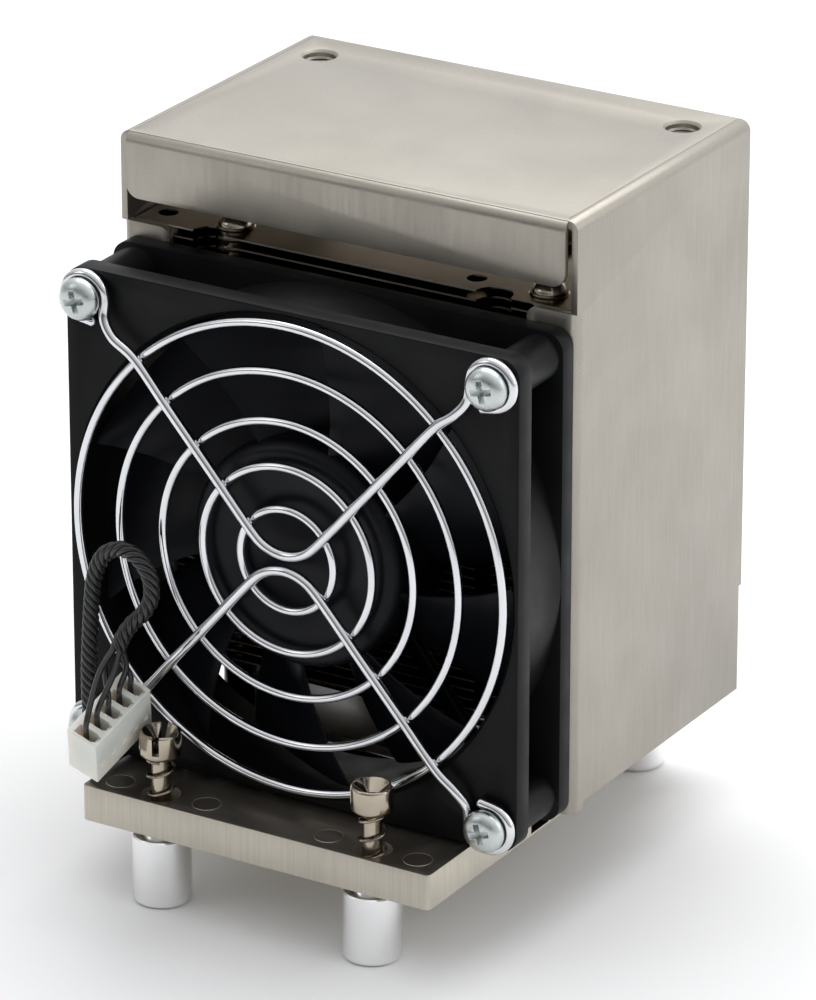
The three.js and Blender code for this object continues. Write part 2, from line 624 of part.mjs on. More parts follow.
function makeRib(level) {
  const middle = [ARM.x, GUARD.ribY, FAN.centre + level * ARM.z];
  const curve = smoothCurve([...ribHalf(-1, level).reverse(), middle, ...ribHalf(1, level)]);
  return tubeAlong(curve, GUARD.ribWire, 5, 84);
}

function makeGuard() {
  const parts = GUARD_RADII.map(makeRing);
  parts.push(makeRib(1), makeRib(-1));
  addPiece("finger_guard", join(...parts), "chrome");
}

function makeGuardScrew(place) {
  const top = GUARD_SCREW.under - GUARD_SCREW.height;
  const profile = [
    [0, GUARD_SCREW.tip],
    [GUARD_SCREW.shank - 0.4, GUARD_SCREW.tip],
    [GUARD_SCREW.shank, GUARD_SCREW.tip - 0.5],
    [GUARD_SCREW.shank, GUARD_SCREW.under],
    [GUARD_SCREW.head, GUARD_SCREW.under],
    [GUARD_SCREW.head, GUARD_SCREW.under - 0.8],
    [GUARD_SCREW.head - 0.8, top + 0.5],
    [GUARD_SCREW.head - 1.9, top],
    [0, top],
  ];
  const tools = [];
  for (const turn of [0, 1]) {
    const bar = box(-1.9, 1.9, top - 1, top + 1.4, -GUARD_SCREW.recess / 2, GUARD_SCREW.recess / 2);
    tools.push(bar.rotateY((turn * Math.PI) / 2 + 0.3));
  }
  const body = cut(turnedAboutY(profile, 12), ...tools);
  addPiece(`guard_screw_${place.name}`, body.translate(place.x, 0, place.z), "bright");
}

// ---- lead and connector -----------------------------------------------------------------------
function housingPoint(along, down, across) {
  const { along: a, down: d, across: c } = HOUSING_AXES;
  return HOUSING.corner.map((value, i) => value + along * a[i] + down * d[i] + across * c[i]);
}

// Moves a piece modelled with X along the housing, Y across it and Z down it into place.
function placeInHousing(geometry) {
  const { along, down, across } = HOUSING_AXES;
  const matrix = new THREE.Matrix4().makeBasis(
    new THREE.Vector3(...along), new THREE.Vector3(...across), new THREE.Vector3(...down));
  matrix.setPosition(...HOUSING.corner);
  const placed = geometry.applyMatrix4(matrix);
  if (matrix.determinant() > 0) return placed;
  const index = placed.index;
  if (index) {
    for (let i = 0; i < index.count; i += 3) {
      const first = index.getX(i);
      index.setX(i, index.getX(i + 1));
      index.setX(i + 1, first);
    }
  }
  return placed;
}

function channelCentre(way) {
  return CHANNEL.first + CHANNEL.pitch * way;
}

function makeConnector() {
  const channelMid = (CHANNEL.wall + HOUSING.depth - CHANNEL.back) / 2;
  const tools = [];
  for (let way = 0; way < WIRE.count; way += 1) {
    const x = channelCentre(way);
    tools.push(box(x - CHANNEL.width / 2, x + CHANNEL.width / 2, CHANNEL.wall, HOUSING.depth - CHANNEL.back,
      -1, CHANNEL.depth));
    tools.push(box(x - 0.6, x + 0.6, channelMid - 0.6, channelMid + 0.6, 1, HOUSING.height + 1));
  }
  const body = weld(box(0, HOUSING.length, 0, HOUSING.depth, 0, HOUSING.height));
  addPiece("connector_housing", placeInHousing(cut(body, ...tools)), "nylon");
  for (let way = 0; way < WIRE.count; way += 1) {
    const x = channelCentre(way);
    const half = CHANNEL.width / 2 - GAP;
    const terminal = box(x - half, x + half, channelMid - 1, channelMid + 1, 3.4, CHANNEL.depth - GAP);
    addPiece(`terminal_${way + 1}`, placeInHousing(weld(terminal)), "brass");
  }
  return channelMid;
}

function makeLead(channelMid) {
  addPiece("fan_lead", tubeAlong(smoothCurve(LEAD_ROUTE), LEAD.radius, LEAD.sides, LEAD.steps), "wire");
  const end = LEAD_ROUTE[LEAD_ROUTE.length - 1];
  for (let way = 0; way < WIRE.count; way += 1) {
    const spread = way - (WIRE.count - 1) / 2;
    const x = channelCentre(way);
    const start = [end[0] - 0.5, end[1] + spread * 1.7 - 0.4, end[2] - 2.4 + Math.abs(spread) * 0.25];
    const curve = smoothCurve([
      start,
      housingPoint(x, -3.6, channelMid - 0.3),
      housingPoint(x, -0.4, channelMid),
      housingPoint(x, 3.1, channelMid),
    ]);
    addPiece(`lead_wire_${way + 1}`, tubeAlong(curve, WIRE.radius, WIRE.sides, WIRE.steps), "wire");
  }
}

// ---- assembly ---------------------------------------------------------------------------------
makeBase();
CORNERS.forEach((corner, index) => {
  makeSleeve(corner);
  makeCaptiveScrew(corner, index);
  makeClip(corner);
  makeSpring(corner);
});
makeHeatPipes();
for (let index = 0; index < PACK.count; index += 1) makeFinPack(index);
makeTopFin();
makeShroud();
makeFanFrame();
makeImpeller();
makeMotor();
makeGuard();
fanCorners().forEach(makeGuardScrew);
makeLead(makeConnector());

export default model;
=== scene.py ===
"""The looks of a workstation processor cooler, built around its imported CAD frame.

Shapes are drawn in millimetres in the CAD's own frame and become metres as each mesh is made.
The fan faces -Y, +Z is up, and the origin is the centre of the base's contact face.
"""
import json
import math

import bmesh
import bpy
from mathutils import Matrix, Vector


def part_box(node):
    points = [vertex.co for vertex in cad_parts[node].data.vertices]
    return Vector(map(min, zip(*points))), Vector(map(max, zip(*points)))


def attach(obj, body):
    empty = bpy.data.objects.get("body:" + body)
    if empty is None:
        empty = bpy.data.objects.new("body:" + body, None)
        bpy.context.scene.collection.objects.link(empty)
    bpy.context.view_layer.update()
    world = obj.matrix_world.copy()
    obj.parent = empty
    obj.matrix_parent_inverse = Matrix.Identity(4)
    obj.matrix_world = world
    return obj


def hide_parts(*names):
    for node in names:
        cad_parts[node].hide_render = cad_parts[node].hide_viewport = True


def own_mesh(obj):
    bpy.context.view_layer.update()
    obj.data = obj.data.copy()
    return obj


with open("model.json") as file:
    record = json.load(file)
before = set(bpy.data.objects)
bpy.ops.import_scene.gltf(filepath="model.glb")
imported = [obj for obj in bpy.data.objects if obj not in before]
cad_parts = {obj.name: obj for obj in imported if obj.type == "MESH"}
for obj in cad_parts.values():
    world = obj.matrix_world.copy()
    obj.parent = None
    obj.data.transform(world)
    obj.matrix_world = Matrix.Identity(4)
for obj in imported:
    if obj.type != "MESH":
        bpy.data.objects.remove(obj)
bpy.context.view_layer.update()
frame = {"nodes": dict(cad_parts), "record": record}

MM = 0.001
ROOT = "cooler"
GAP = 0.08  # between two visible pieces that fit together
PAST = 1.0  # how far a cutter runs past the face it cuts
OUTSIDE = 60.0  # beyond the cooler on every side
ABOVE_BASE = 20  # the top of every cutter used on the base

# ---- driving sizes in millimetres
CAMERA_PLACE = (563.2, -927.8, 503.3)
CAMERA_TILT = 67.386
CAMERA_TURN = 31.228
CAMERA_LENS = 236.2

DOME_AXIS = (0.12, 0.62, 0.78)
DOME_SPAN = (-0.6, 0.75)
DOME_LEVELS = (0.06, 1.15)
LIGHT_AIM = (0, 0.1, 0.0)
LIGHTS = {  # place and size in metres, power in watts
    "soft_top": ((-0.1, 0.55, 1.15), (1.3, 1.0), 9),
    "soft_right": ((1.25, 0.55, 0.6), (0.9, 1.0), 2),
    "soft_left": ((-0.9, -0.9, 0.75), (0.5, 0.7), 1.1),
}
FLOOR = {"half": 3000, "thick": 10, "drop": 0.02}

LEAD_STRANDS = 5
STRAND_RADIUS = 0.54
STRAND_OFFSET = 0.98
STRAND_LAY = 7.9
TAIL = {"gather": -3.4, "lean": 0.2, "slack": 1.5, "pull": 0.22, "mouth": -0.4, "crimp": 3.1}
LEAD_ROUTE = [
    (-33.6, -30, 19.6), (-34.3, -30.1, 14), (-35.5, -30.3, 10.4), (-37.8, -31.6, 6.6), (-38.5, -34.8, 5.5),
    (-38.5, -38.6, 5.4), (-38.5, -42.6, 6.4), (-37.2, -46, 10.8), (-37.3, -46.3, 15.6), (-37.6, -46.2, 21.2),
    (-37.6, -46.2, 27.6), (-37.2, -46.2, 34), (-36.7, -46.2, 40.4), (-35.9, -46.2, 45.8),
    (-33.6, -46.2, 50.2), (-29.8, -46.4, 51.9), (-26.2, -46.8, 51), (-23.7, -47.2, 48.2),
    (-23.2, -47.6, 44.4), (-24.6, -48, 41.4), (-26.6, -48.6, 39.2), (-28, -49.4, 36.8), (-28.6, -50.4, 34.2),
]

BASE = {"half_x": 36.1, "half_y": 51.5, "top": 6.8, "corner": 1.0}
PIN = {"radius": 2.6, "depth": 2.5, "hole": 2.6, "sunk": 0.02}
MOUNT_X = 22.0
MOUNT_Y = 47.2
WELL_RADIUS = 3.55
WELL_FLOOR = 3.8
SLEEVE = {"radius": 5.35, "bottom": -13.8, "top": -0.66, "bore": 3.7, "shoulder": -2.2}
NECK = {"radius": 3.6, "top": 2.4, "bore": 2.3, "room": 2.7}
SLEEVE_FOOT = [(4.35, -13.8), (4.73, -13.72), (5.06, -13.5), (5.27, -13.18), (5.35, -12.8)]
SCREW_PROFILE = [
    (0, -12.5), (1.4, -12.5), (1.85, -12.0), (1.85, -3.5), (1.3, -3.5), (1.3, -2.2), (1.85, -2.2),
    (1.85, 6.5), (1.72, 10.5), (1.72, 13.9), (1.95, 14.2), (2.9, 14.2), (3.3, 14.32), (3.62, 14.62),
    (3.8, 15.1), (3.8, 18.65), (3.74, 18.95), (3.58, 19.14), (3.4, 19.2), (3.2, 19.12), (1.2, 17.2),
    (0, 17.0),
]
SLOT = {"reach": 6.0, "half": 0.65, "floor": 15.6, "top": 22.0}
SLOT_TURNS = {"front_left": 0.34, "front_right": -0.93, "rear_left": 0.4, "rear_right": -0.3}
SPRING = {"wire": 0.275, "coil": 2.37, "low": 4.1, "high": 13.9, "length": 9.8, "press": 6.0}
SPRING_TURNS = {"all": 3.2, "end": 0.35, "end_rise": 0.12, "steps": 160}
SPRING_STARTS = {"front_left": 0.63, "front_right": 0.07, "rear_left": 0.3, "rear_right": 0.6}
PIPE_ROWS = (-13.0, 10.0, 33.0)
PIPE_RADIUS = 3.0
PIPE_AXIS = 3.5
PIPE_BEND = 8.0
PIPE_STEPS = 12
PIPE_MIDDLE = 60
GROOVE = {"half": 80, "rise": 0.1}
PIPE_TOP = 105.2
PIPE_NEAR = 27.0
PIPE_FAR = 37.0

SHEET = 1.2
SHROUD = {"half": 46.5, "front": -19.9, "back": 41.3, "low_back": 40.5, "top": 119.2, "bottom": 9.4}
STEP_Z = 29.9
BEND = 2.0
BEND_STEPS = 10
BEND_LINE = {"inset": 0.35, "half": 0.07, "depth": 0.05}
LIP = {"front": -21.2, "half": 44.6, "bottom": 107.2, "corner": 2.5, "lap": 3}
TAB = {"inner": 36.5, "top": 102.3, "bottom": 8.0, "corner": 2.0, "deep": 4, "steps": 8, "before": -40}
LID_HOLE = {"x": 37.7, "y": 32.3, "radius": 3.0, "collar": 3.9, "depth": 2.2}
THREAD = {"pitch": 0.7, "depth": 0.3, "land": 1.2, "sink": 0.5, "sink_width": 0.45, "past": 0.1}
FAN_SCREW_HOLE = {"radius": 2.1, "before": 2, "behind": 3}

FIN = {"half": 44.7, "front": -18.4, "back": 39.0, "sheet": 0.32, "pitch": 1.8}
FIN_HEIGHTS = {"top": 102.1, "lowest": 21.0}
FOLD = {"thick": 0.3, "inset": 1, "gap": 0.4}
COLLAR = {"wall": 0.35, "flare": 0.3, "height": 0.55, "sunk": 0.1, "lap": 0.02, "bend": 0.2}
FIN_HOLES = {"radius": 1.8, "places": ((22.7, -13.3), (-41, -13.3))}
NOTCH_X = 29.0
NOTCH_RADIUS = 3.5

FAN_Z = 53.86
FAN_HALF = 46.0
FAN_FRONT = -38.45
FAN_REAR = -20.2
FLANGE_FRONT = 4.1
FLANGE_REAR = 3.5
HOLE_OFFSET = 41.25
BORE = 44.5
FRAME = {"corner": 3.5, "boss": 4.1, "hole": 2.3, "barrel_inset": 0.02}
BORE_MOUTH = {"wide": 0.9, "narrow": 0.25, "step": 0.6, "deep": 1.6}
CARRIER_PROFILE = [
    (0, -20.4), (20.6, -20.4), (21, -20.8), (21, -23), (5.6, -23), (5.6, -34), (4.6, -34), (4.6, -22.4),
    (0, -22.4),
]
STRUT = {"count": 4, "phase": 0.58, "half": 1.5, "front": -22.6, "back": -20.4, "inner": 20, "into": 0.7}
BLADES = 9
BLADE = {"root": 20.6, "tip": 43.5, "chord": 36, "phase": 77, "phase_radius": 30, "sweep": 0.52}
BLADE_FORM = {"front": -36.1, "rake": 11.5, "camber": 1.3, "thick": 1.1, "thin": 0.35}
BLADE_SKEW = {"lift": 0.85, "push": 0.5}
HUB = {"front": -37.6, "dish": 8.5, "dish_rim": 8.9, "dish_depth": 0.25, "flat": 18.4}
HUB_ROUND = {"from": 18.7, "radius": 2.6, "steps": 8}
HUB_INSIDE = [
    (21.3, -25), (19.8, -25), (19.8, -35.8), (3, -35.8), (3, -34.2), (1.8, -34.2), (1.8, -36.8), (0, -36.8),
]
GUARD_RADII = (43.7, 34.9, 25.8, 17.4, 9.5)
RING_Y = -39.55
RING_WIRE = 0.8
RIB_Y = -40.95
RIB_WIRE = 0.95
EYELET_RADIUS = 4.15
EYELET_Y = -39.8
EYELET_TURN = 240
EYELET_STEPS = 8
EYELET_TAIL = (1.6, 4.4)
ARM = {"x": 0.3, "z": 1.5, "round": 8.4, "tilt": 48.6}
ARM_REACHES = (16, 24, 31)
ARM_END = ((6.4, 6.1, -40.95), (4.3, 3.2, -40.3))
HEAD_UNDER = -41.1
PAN_SHANK = [(0, -18.9), (1.55, -18.9), (1.95, -19.4)]
PAN_HEAD = [  # radius, and height above the head's underside
    (1.95, 0), (3.8, 0), (3.9, 0.12), (3.9, 0.75), (3.8, 1.1), (3.5, 1.6), (3.0, 2.05), (2.2, 2.35),
    (1.2, 2.47), (0, 2.5),
]
RECESS = [(-2.15, -3), (2.15, -3), (2.15, 0), (0.8, 1.8), (-0.8, 1.8), (-2.15, 0)]
RECESS_HALF = 0.58
SCREW_TURNS = {"upper_left": -0.25, "upper_right": -0.2, "lower_left": 0.3, "lower_right": -0.28}

HOUSING_CORNER = Vector((-26.21, -61.5, 20.26))
HOUSING_ALONG = Vector((0.1565, 0.8983, 0.4098))
HOUSING_DOWN = Vector((-0.2656, 0.438, -0.859))
HOUSING_ACROSS = Vector((-0.951, 0.0252, 0.3067))
HOUSING = {"length": 15.7, "height": 10.8, "depth": 6.5, "corner": 0.25}
CHANNEL = {"first": 1.6, "pitch": 3.12, "width": 2.0, "depth": 7.2, "wall": 1.3, "back": 1.2}

MOUTH = {"half": 0.75, "front": 0.5, "reach": 0.2, "depth": 0.9}
PIN_WAY = {"half": 0.45, "top": 1}
WINDOW = {"half": 0.55, "depth": 0.35, "top": 6.2, "bottom": 7.4}

DOME_RINGS = 6
DOME_SHARE = 0.8

CORNERS = {
    "front_left": (-1, -1), "front_right": (1, -1), "rear_left": (-1, 1), "rear_right": (1, 1),
}


# ---- mesh helpers
def add_object(name, data):
    thing = bpy.data.objects.new(name, data)
    bpy.context.collection.objects.link(thing)
    return thing


def add_mesh(name, points, faces):
    mesh = bpy.data.meshes.new(name)
    mesh.from_pydata([(x * MM, y * MM, z * MM) for x, y, z in points], [], faces)
    work = bmesh.new()
    work.from_mesh(mesh)
    bmesh.ops.remove_doubles(work, verts=work.verts, dist=1e-7)
    bmesh.ops.recalc_face_normals(work, faces=work.faces)
    work.to_mesh(mesh)
    work.free()
    return add_object(name, mesh)


def on_axis(axis, a, b, height):
    """Puts a drawn point (a, b) at a height along an axis."""
    if axis == "z":
        return (a, b, height)
    if axis == "y":
        return (a, height, b)
    return (height, a, b)


def prism(name, outline, low, high, axis="z"):
    count = len(outline)
    points = [on_axis(axis, a, b, low) for a, b in outline]
    points += [on_axis(axis, a, b, high) for a, b in outline]
    faces = [list(range(count)), list(range(count, 2 * count))]
    for i in range(count):
        j = (i + 1) % count
        faces.append([i, j, j + count, i + count])
    return add_mesh(name, points, faces)


def circle(x, y, radius, sides=48):
    step = 2 * math.pi / sides
    return [(x + radius * math.cos(i * step), y + radius * math.sin(i * step)) for i in range(sides)]


def arc(x, y, radius, start, turn, steps):
    """Points round a centre, from a start angle through a turn, both in degrees."""
    angles = [math.radians(start + turn * i / steps) for i in range(steps + 1)]
    return [(x + radius * math.cos(angle), y + radius * math.sin(angle)) for angle in angles]


def rounded(x0, x1, y0, y1, radii, steps=8):
    """A rectangle with its own radius at each corner: low left, low right, high right, high left."""
    centres = [(x0, y0, 1, 1, 180), (x1, y0, -1, 1, 270), (x1, y1, -1, -1, 0), (x0, y1, 1, -1, 90)]
    outline = []
    for (x, y, side_x, side_y, start), radius in zip(centres, radii):
        if radius == 0:
            outline.append((x, y))
            continue
        outline += arc(x + side_x * radius, y + side_y * radius, radius, start, 90, steps)
    return outline


def box(name, x0, x1, y0, y1, z0, z1):
    return prism(name, [(x0, y0), (x1, y0), (x1, y1), (x0, y1)], z0, z1)


def lathe(name, profile, axis="z", centre=(0, 0), sides=64):
    """Turns a profile of (radius, height) points about an axis through centre."""
    points = []
    for radius, height in profile:
        for i in range(sides):
            angle = 2 * math.pi * i / sides
            a = centre[0] + radius * math.cos(angle)
            b = centre[1] + radius * math.sin(angle)
            points.append(on_axis(axis, a, b, height))
    faces = []
    for row in range(len(profile) - 1):
        for i in range(sides):
            j = (i + 1) % sides
            faces.append([row * sides + i, row * sides + j, (row + 1) * sides + j, (row + 1) * sides + i])
    return add_mesh(name, points, [face for face in faces if not flat(points, face)])


def flat(points, face):
    """True where a lathe's quad has no area because fewer than three of its corners differ."""
    return len({tuple(round(value, 6) for value in points[i]) for i in face}) < 3


def spline(route, steps, closed=False):
    """Points along a centripetal Catmull-Rom curve through the route."""
    knots = [Vector(point) for point in route]
    count = len(knots)

    def knot(i):
        if closed:
            return knots[i % count]
        if i < 0:
            return 2 * knots[0] - knots[1]
        if i >= count:
            return 2 * knots[-1] - knots[-2]
        return knots[i]

    points = []
    spans = count if closed else count - 1
    for span in range(spans):
        p0, p1, p2, p3 = (knot(span + offset) for offset in (-1, 0, 1, 2))
        t1 = math.sqrt((p1 - p0).length)
        t2 = t1 + math.sqrt((p2 - p1).length)
        t3 = t2 + math.sqrt((p3 - p2).length)
        for i in range(steps):
            t = t1 + (t2 - t1) * i / steps
            a1 = p0 * ((t1 - t) / t1) + p1 * (t / t1)
            a2 = p1 * ((t2 - t) / (t2 - t1)) + p2 * ((t - t1) / (t2 - t1))
            a3 = p2 * ((t3 - t) / (t3 - t2)) + p3 * ((t - t2) / (t3 - t2))
            b1 = a1 * ((t2 - t) / t2) + a2 * (t / t2)
            b2 = a2 * ((t3 - t) / (t3 - t1)) + a3 * ((t - t1) / (t3 - t1))
            points.append(b1 * ((t2 - t) / (t2 - t1)) + b2 * ((t - t1) / (t2 - t1)))
    if not closed:
        points.append(knots[-1])
    return points


def travelling_frames(path, closed=False):
    """A side and a lift vector at each point of a path, carried along it without twisting."""
    count = len(path)
    tangents = []
    for i in range(count):
        before = path[(i - 1) % count] if closed or i > 0 else path[i]
        after = path[(i + 1) % count] if closed or i < count - 1 else path[i]
        tangents.append((after - before).normalized())
    lift = Vector((0, 0, 1)) if abs(tangents[0].z) < 0.9 else Vector((1, 0, 0))
    frames = []
    for tangent in tangents:
        side = tangent.cross(lift).normalized()
        lift = side.cross(tangent).normalized()
        frames.append((side, lift))
    return frames


def sweep(name, path, radius, sides=16, closed=False, dome=False):
    """A round tube along a path, with flat or domed ends."""
    path = [Vector(point) for point in path]
    frames = travelling_frames(path, closed)
    rings = [(path[i], radius, frames[i]) for i in range(len(path))]
    if dome and not closed:
        start = (path[0] - path[1]).normalized()
        end = (path[-1] - path[-2]).normalized()
        for k in range(1, DOME_RINGS):
            angle = k * math.pi / 2 / DOME_RINGS
            shift = radius * DOME_SHARE * math.sin(angle)
            size = radius * math.cos(angle)
            rings.insert(0, (path[0] + start * shift, size, frames[0]))
            rings.append((path[-1] + end * shift, size, frames[-1]))
    points = []
    for centre, size, (side, lift) in rings:
        for i in range(sides):
            angle = 2 * math.pi * i / sides
            points.append(tuple(centre + side * size * math.cos(angle) + lift * size * math.sin(angle)))
    rows = len(rings)
    faces = []
    for row in range(rows if closed else rows - 1):
        below = (row + 1) % rows
        for i in range(sides):
            j = (i + 1) % sides
            faces.append([row * sides + i, row * sides + j, below * sides + j, below * sides + i])
    if not closed:
        faces.append(list(range(sides)))
        faces.append(list(range((rows - 1) * sides, rows * sides)))
    return add_mesh(name, points, faces)


def apply_modifier(piece, modifier):
    with bpy.context.temp_override(object=piece, active_object=piece, selected_objects=[piece]):
        bpy.ops.object.modifier_apply(modifier=modifier.name)


def combine(piece, other, operation):
    modifier = piece.modifiers.new(operation.lower(), "BOOLEAN")
    modifier.operation = operation
    modifier.solver = "EXACT"
    modifier.object = other
    apply_modifier(piece, modifier)
    bpy.data.objects.remove(other)


def cut(piece, *others):
    for other in others:
        combine(piece, other, "DIFFERENCE")


def join(piece, *others):
    for other in others:
        combine(piece, other, "UNION")


def gather(name, pieces):
    """Puts several meshes in one object."""
    work = bmesh.new()
    for piece in pieces:
        work.from_mesh(piece.data)
        bpy.data.objects.remove(piece)
    mesh = bpy.data.meshes.new(name)
    work.to_mesh(mesh)
    work.free()
    return add_object(name, mesh)


def soften(piece, width=0.0, segments=2, angle=32):
    """Rounds the sharp edges a little, and shades the rest smooth."""
    if width:
        modifier = piece.modifiers.new("edges", "BEVEL")
        modifier.width = width * MM
        modifier.segments = segments
        modifier.limit_method = "ANGLE"
        modifier.angle_limit = math.radians(angle)
        apply_modifier(piece, modifier)
    piece.data.shade_smooth()
    piece.data.set_sharp_from_angle(angle=math.radians(angle))
    return piece


def finish_piece(piece, slot, nodes, body=ROOT, material=None):
    """Dresses a piece in its slot's material, ties it to its body and hides the CAD nodes it replaces."""
    piece.data.materials.clear()
    piece.data.materials.append(material or MATERIALS[slot])
    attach(piece, body)
    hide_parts(*nodes)
    return piece


# ---- material helpers
def link(tree, source, target):
    tree.links.new(source, target)


def axis_part(tree, vector, axis):
    """One of a vector's three parts."""
    parts = tree.nodes.new("ShaderNodeSeparateXYZ")
    link(tree, vector, parts.inputs["Vector"])
    return parts.outputs[axis]


def facing(tree, axis):
    """How far the surface faces along an axis, from -1 to 1."""
    return axis_part(tree, tree.nodes.new("ShaderNodeNewGeometry").outputs["Normal"], axis)


def darker(colour, share):
    return tuple(value * share for value in colour)


def start_material(name, colour, roughness, metallic):
    material = bpy.data.materials.new(name)
    material.use_nodes = True
    tree = material.node_tree
    shader = tree.nodes["Principled BSDF"]
    shader.inputs["Base Color"].default_value = (*colour, 1)
    shader.inputs["Roughness"].default_value = roughness
    shader.inputs["Metallic"].default_value = metallic
    return material, tree, shader


def noise(tree, scale, detail=3.0, stretch=(1, 1, 1), distortion=0.0):
    place = tree.nodes.new("ShaderNodeTexCoord")
    mapping = tree.nodes.new("ShaderNodeMapping")
    mapping.inputs["Scale"].default_value = stretch
    texture = tree.nodes.new("ShaderNodeTexNoise")
    texture.inputs["Scale"].default_value = scale
    texture.inputs["Detail"].default_value = detail
    texture.inputs["Distortion"].default_value = distortion
    link(tree, place.outputs["Object"], mapping.inputs["Vector"])
    link(tree, mapping.outputs["Vector"], texture.inputs["Vector"])
    return texture.outputs["Fac"]


def spread(tree, value, low, high, to_low, to_high):
    node = tree.nodes.new("ShaderNodeMapRange")
    node.inputs["From Min"].default_value = low
    node.inputs["From Max"].default_value = high
    node.inputs["To Min"].default_value = to_low
    node.inputs["To Max"].default_value = to_high
    link(tree, value, node.inputs["Value"])
    return node.outputs["Result"]


def calculate(tree, operation, first, second):
    node = tree.nodes.new("ShaderNodeMath")
    node.operation = operation
    link(tree, first, node.inputs[0])
    link(tree, second, node.inputs[1])
    return node.outputs["Value"]


def blend_colours(tree, amount, first, second):
    node = tree.nodes.new("ShaderNodeMix")
    node.data_type = "RGBA"
    link(tree, amount, node.inputs["Factor"])
    for socket, colour in ((node.inputs[6], first), (node.inputs[7], second)):
        if isinstance(colour, tuple):
            socket.default_value = (*colour, 1)
        else:
            link(tree, colour, socket)
    return node.outputs[2]


def add_bump(tree, shader, mask, height, strength, depth):
    """Roughens the surface. The mask, where there is one, is 1 where the bumps stand at full height."""
    node = tree.nodes.new("ShaderNodeBump")
    if mask is not None:
        height = calculate(tree, "MULTIPLY", mask, height)
    node.inputs["Strength"].default_value = strength
    node.inputs["Distance"].default_value = depth * MM
    link(tree, height, node.inputs["Height"])
    link(tree, node.outputs["Normal"], shader.inputs["Normal"])


def upward(tree):
    """1 where the surface faces up, 0 elsewhere."""
    return spread(tree, facing(tree, "Z"), 0.75, 0.95, 0.0, 1.0)


def paint_shade_past(tree, colour, axis, *limits, mask=None):
    """Painted shade: the colour falls away towards a near-black painted shade past each pair of limits, in
    metres along an axis.
    """
    place = tree.nodes.new("ShaderNodeTexCoord")
    along = axis_part(tree, place.outputs["Object"], axis)
    amount = mask
    for start, end in limits:
        step = spread(tree, along, start, end, 0.0, 1.0)
        amount = calculate(tree, "MULTIPLY", amount, step) if amount else step
    return blend_colours(tree, amount, colour, PAINTED_SHADE)


# near-black colour of the painted shade deep inside the cooler
PAINTED_SHADE = (0.018, 0.015, 0.012)
# Y limits of the base top's painted shade under the fins
UNDER_FINS = ((-0.038, -0.030), (0.032, 0.026))
# height along Z where the pipes' painted shade begins below the top fin
BELOW_TOP_FIN = (0.101, 0.095)
BASE_EDGE = {"light": (0.60, 0.56, 0.48), "dark": (0.51, 0.47, 0.40)}
# the top's colours are darker than the edges' as painted shade under the fan and fins
SHADED_BASE_TOP = ((0.20, 0.175, 0.145), (0.25, 0.22, 0.185))
PIPE_TONES = ((0.55, 0.50, 0.41), (0.30, 0.26, 0.20))
FIN_FACE = ((0.235, 0.185, 0.125), (0.15, 0.115, 0.075))
# colour of the painted highlight along the fins' front edges
FIN_EDGE_HIGHLIGHT = (0.62, 0.56, 0.47)


def sheet_metal(name, light, dark, roughness, stain=0.5):
    """Satin plated sheet: broad cloudy tone, fine pits and faint rolling lines."""
    material, tree, shader = start_material(name, light, roughness, 0.92)
    clouds = spread(tree, noise(tree, 38, 5, distortion=0.6), 0.38, 0.68, 0.0, stain)
    pits = spread(tree, noise(tree, 2600, 2), 0.62, 0.74, 0.0, 0.35)
    colour = blend_colours(tree, clouds, light, dark)
    colour = blend_colours(tree, pits, colour, darker(dark, 0.55))
    link(tree, colour, shader.inputs["Base Color"])
    grain = noise(tree, 1500, 3, stretch=(1, 1, 0.06))
    fine = spread(tree, grain, 0.3, 0.7, -0.05, 0.05)
    broad = spread(tree, noise(tree, 60, 4), 0.35, 0.7, roughness - 0.04, roughness + 0.08)
    link(tree, calculate(tree, "ADD", fine, broad), shader.inputs["Roughness"])
    add_bump(tree, shader, None, calculate(tree, "ADD", grain, noise(tree, 3800, 2)), 0.18, 0.02)
    return material


def base_metal(name):
    """Plated block: brushed up and down on its edges, satin on its top, with the top coloured darker as
    painted shade and darker still as painted shade under the fins.
    """
    material, tree, shader = start_material(name, BASE_EDGE["light"], 0.3, 0.85)
    lines = noise(tree, 2200, 3, stretch=(1, 1, 0.03))
    broad = spread(tree, noise(tree, 60, 3), 0.3, 0.7, -0.15, 0.15)
    flat_top = upward(tree)
    tone = spread(tree, calculate(tree, "ADD", lines, broad), 0.3, 0.72, 0.0, 1.0)
    edge_colour = blend_colours(tree, tone, BASE_EDGE["dark"], BASE_EDGE["light"])
    blotch = spread(tree, noise(tree, 70, 4), 0.4, 0.7, 0, 1)
    # the top takes the darker colours: painted shade
    colour = blend_colours(tree, flat_top, edge_colour, blend_colours(tree, blotch, *SHADED_BASE_TOP))
    # painted shade on the top where it lies under the fins
    shaded_under_fins = paint_shade_past(tree, colour, "Y", *UNDER_FINS, mask=flat_top)
    link(tree, shaded_under_fins, shader.inputs["Base Color"])
    edge_rough = spread(tree, lines, 0.3, 0.7, 0.42, 0.52)
    top_rough = spread(tree, noise(tree, 240, 4), 0.35, 0.7, 0.30, 0.40)
    pick = tree.nodes.new("ShaderNodeMix")
    link(tree, flat_top, pick.inputs["Factor"])
    link(tree, edge_rough, pick.inputs[2])
    link(tree, top_rough, pick.inputs[3])
    link(tree, pick.outputs[0], shader.inputs["Roughness"])
    add_bump(tree, shader, spread(tree, flat_top, 0, 1, 1, 0), lines, 0.15, 0.02)
    return material


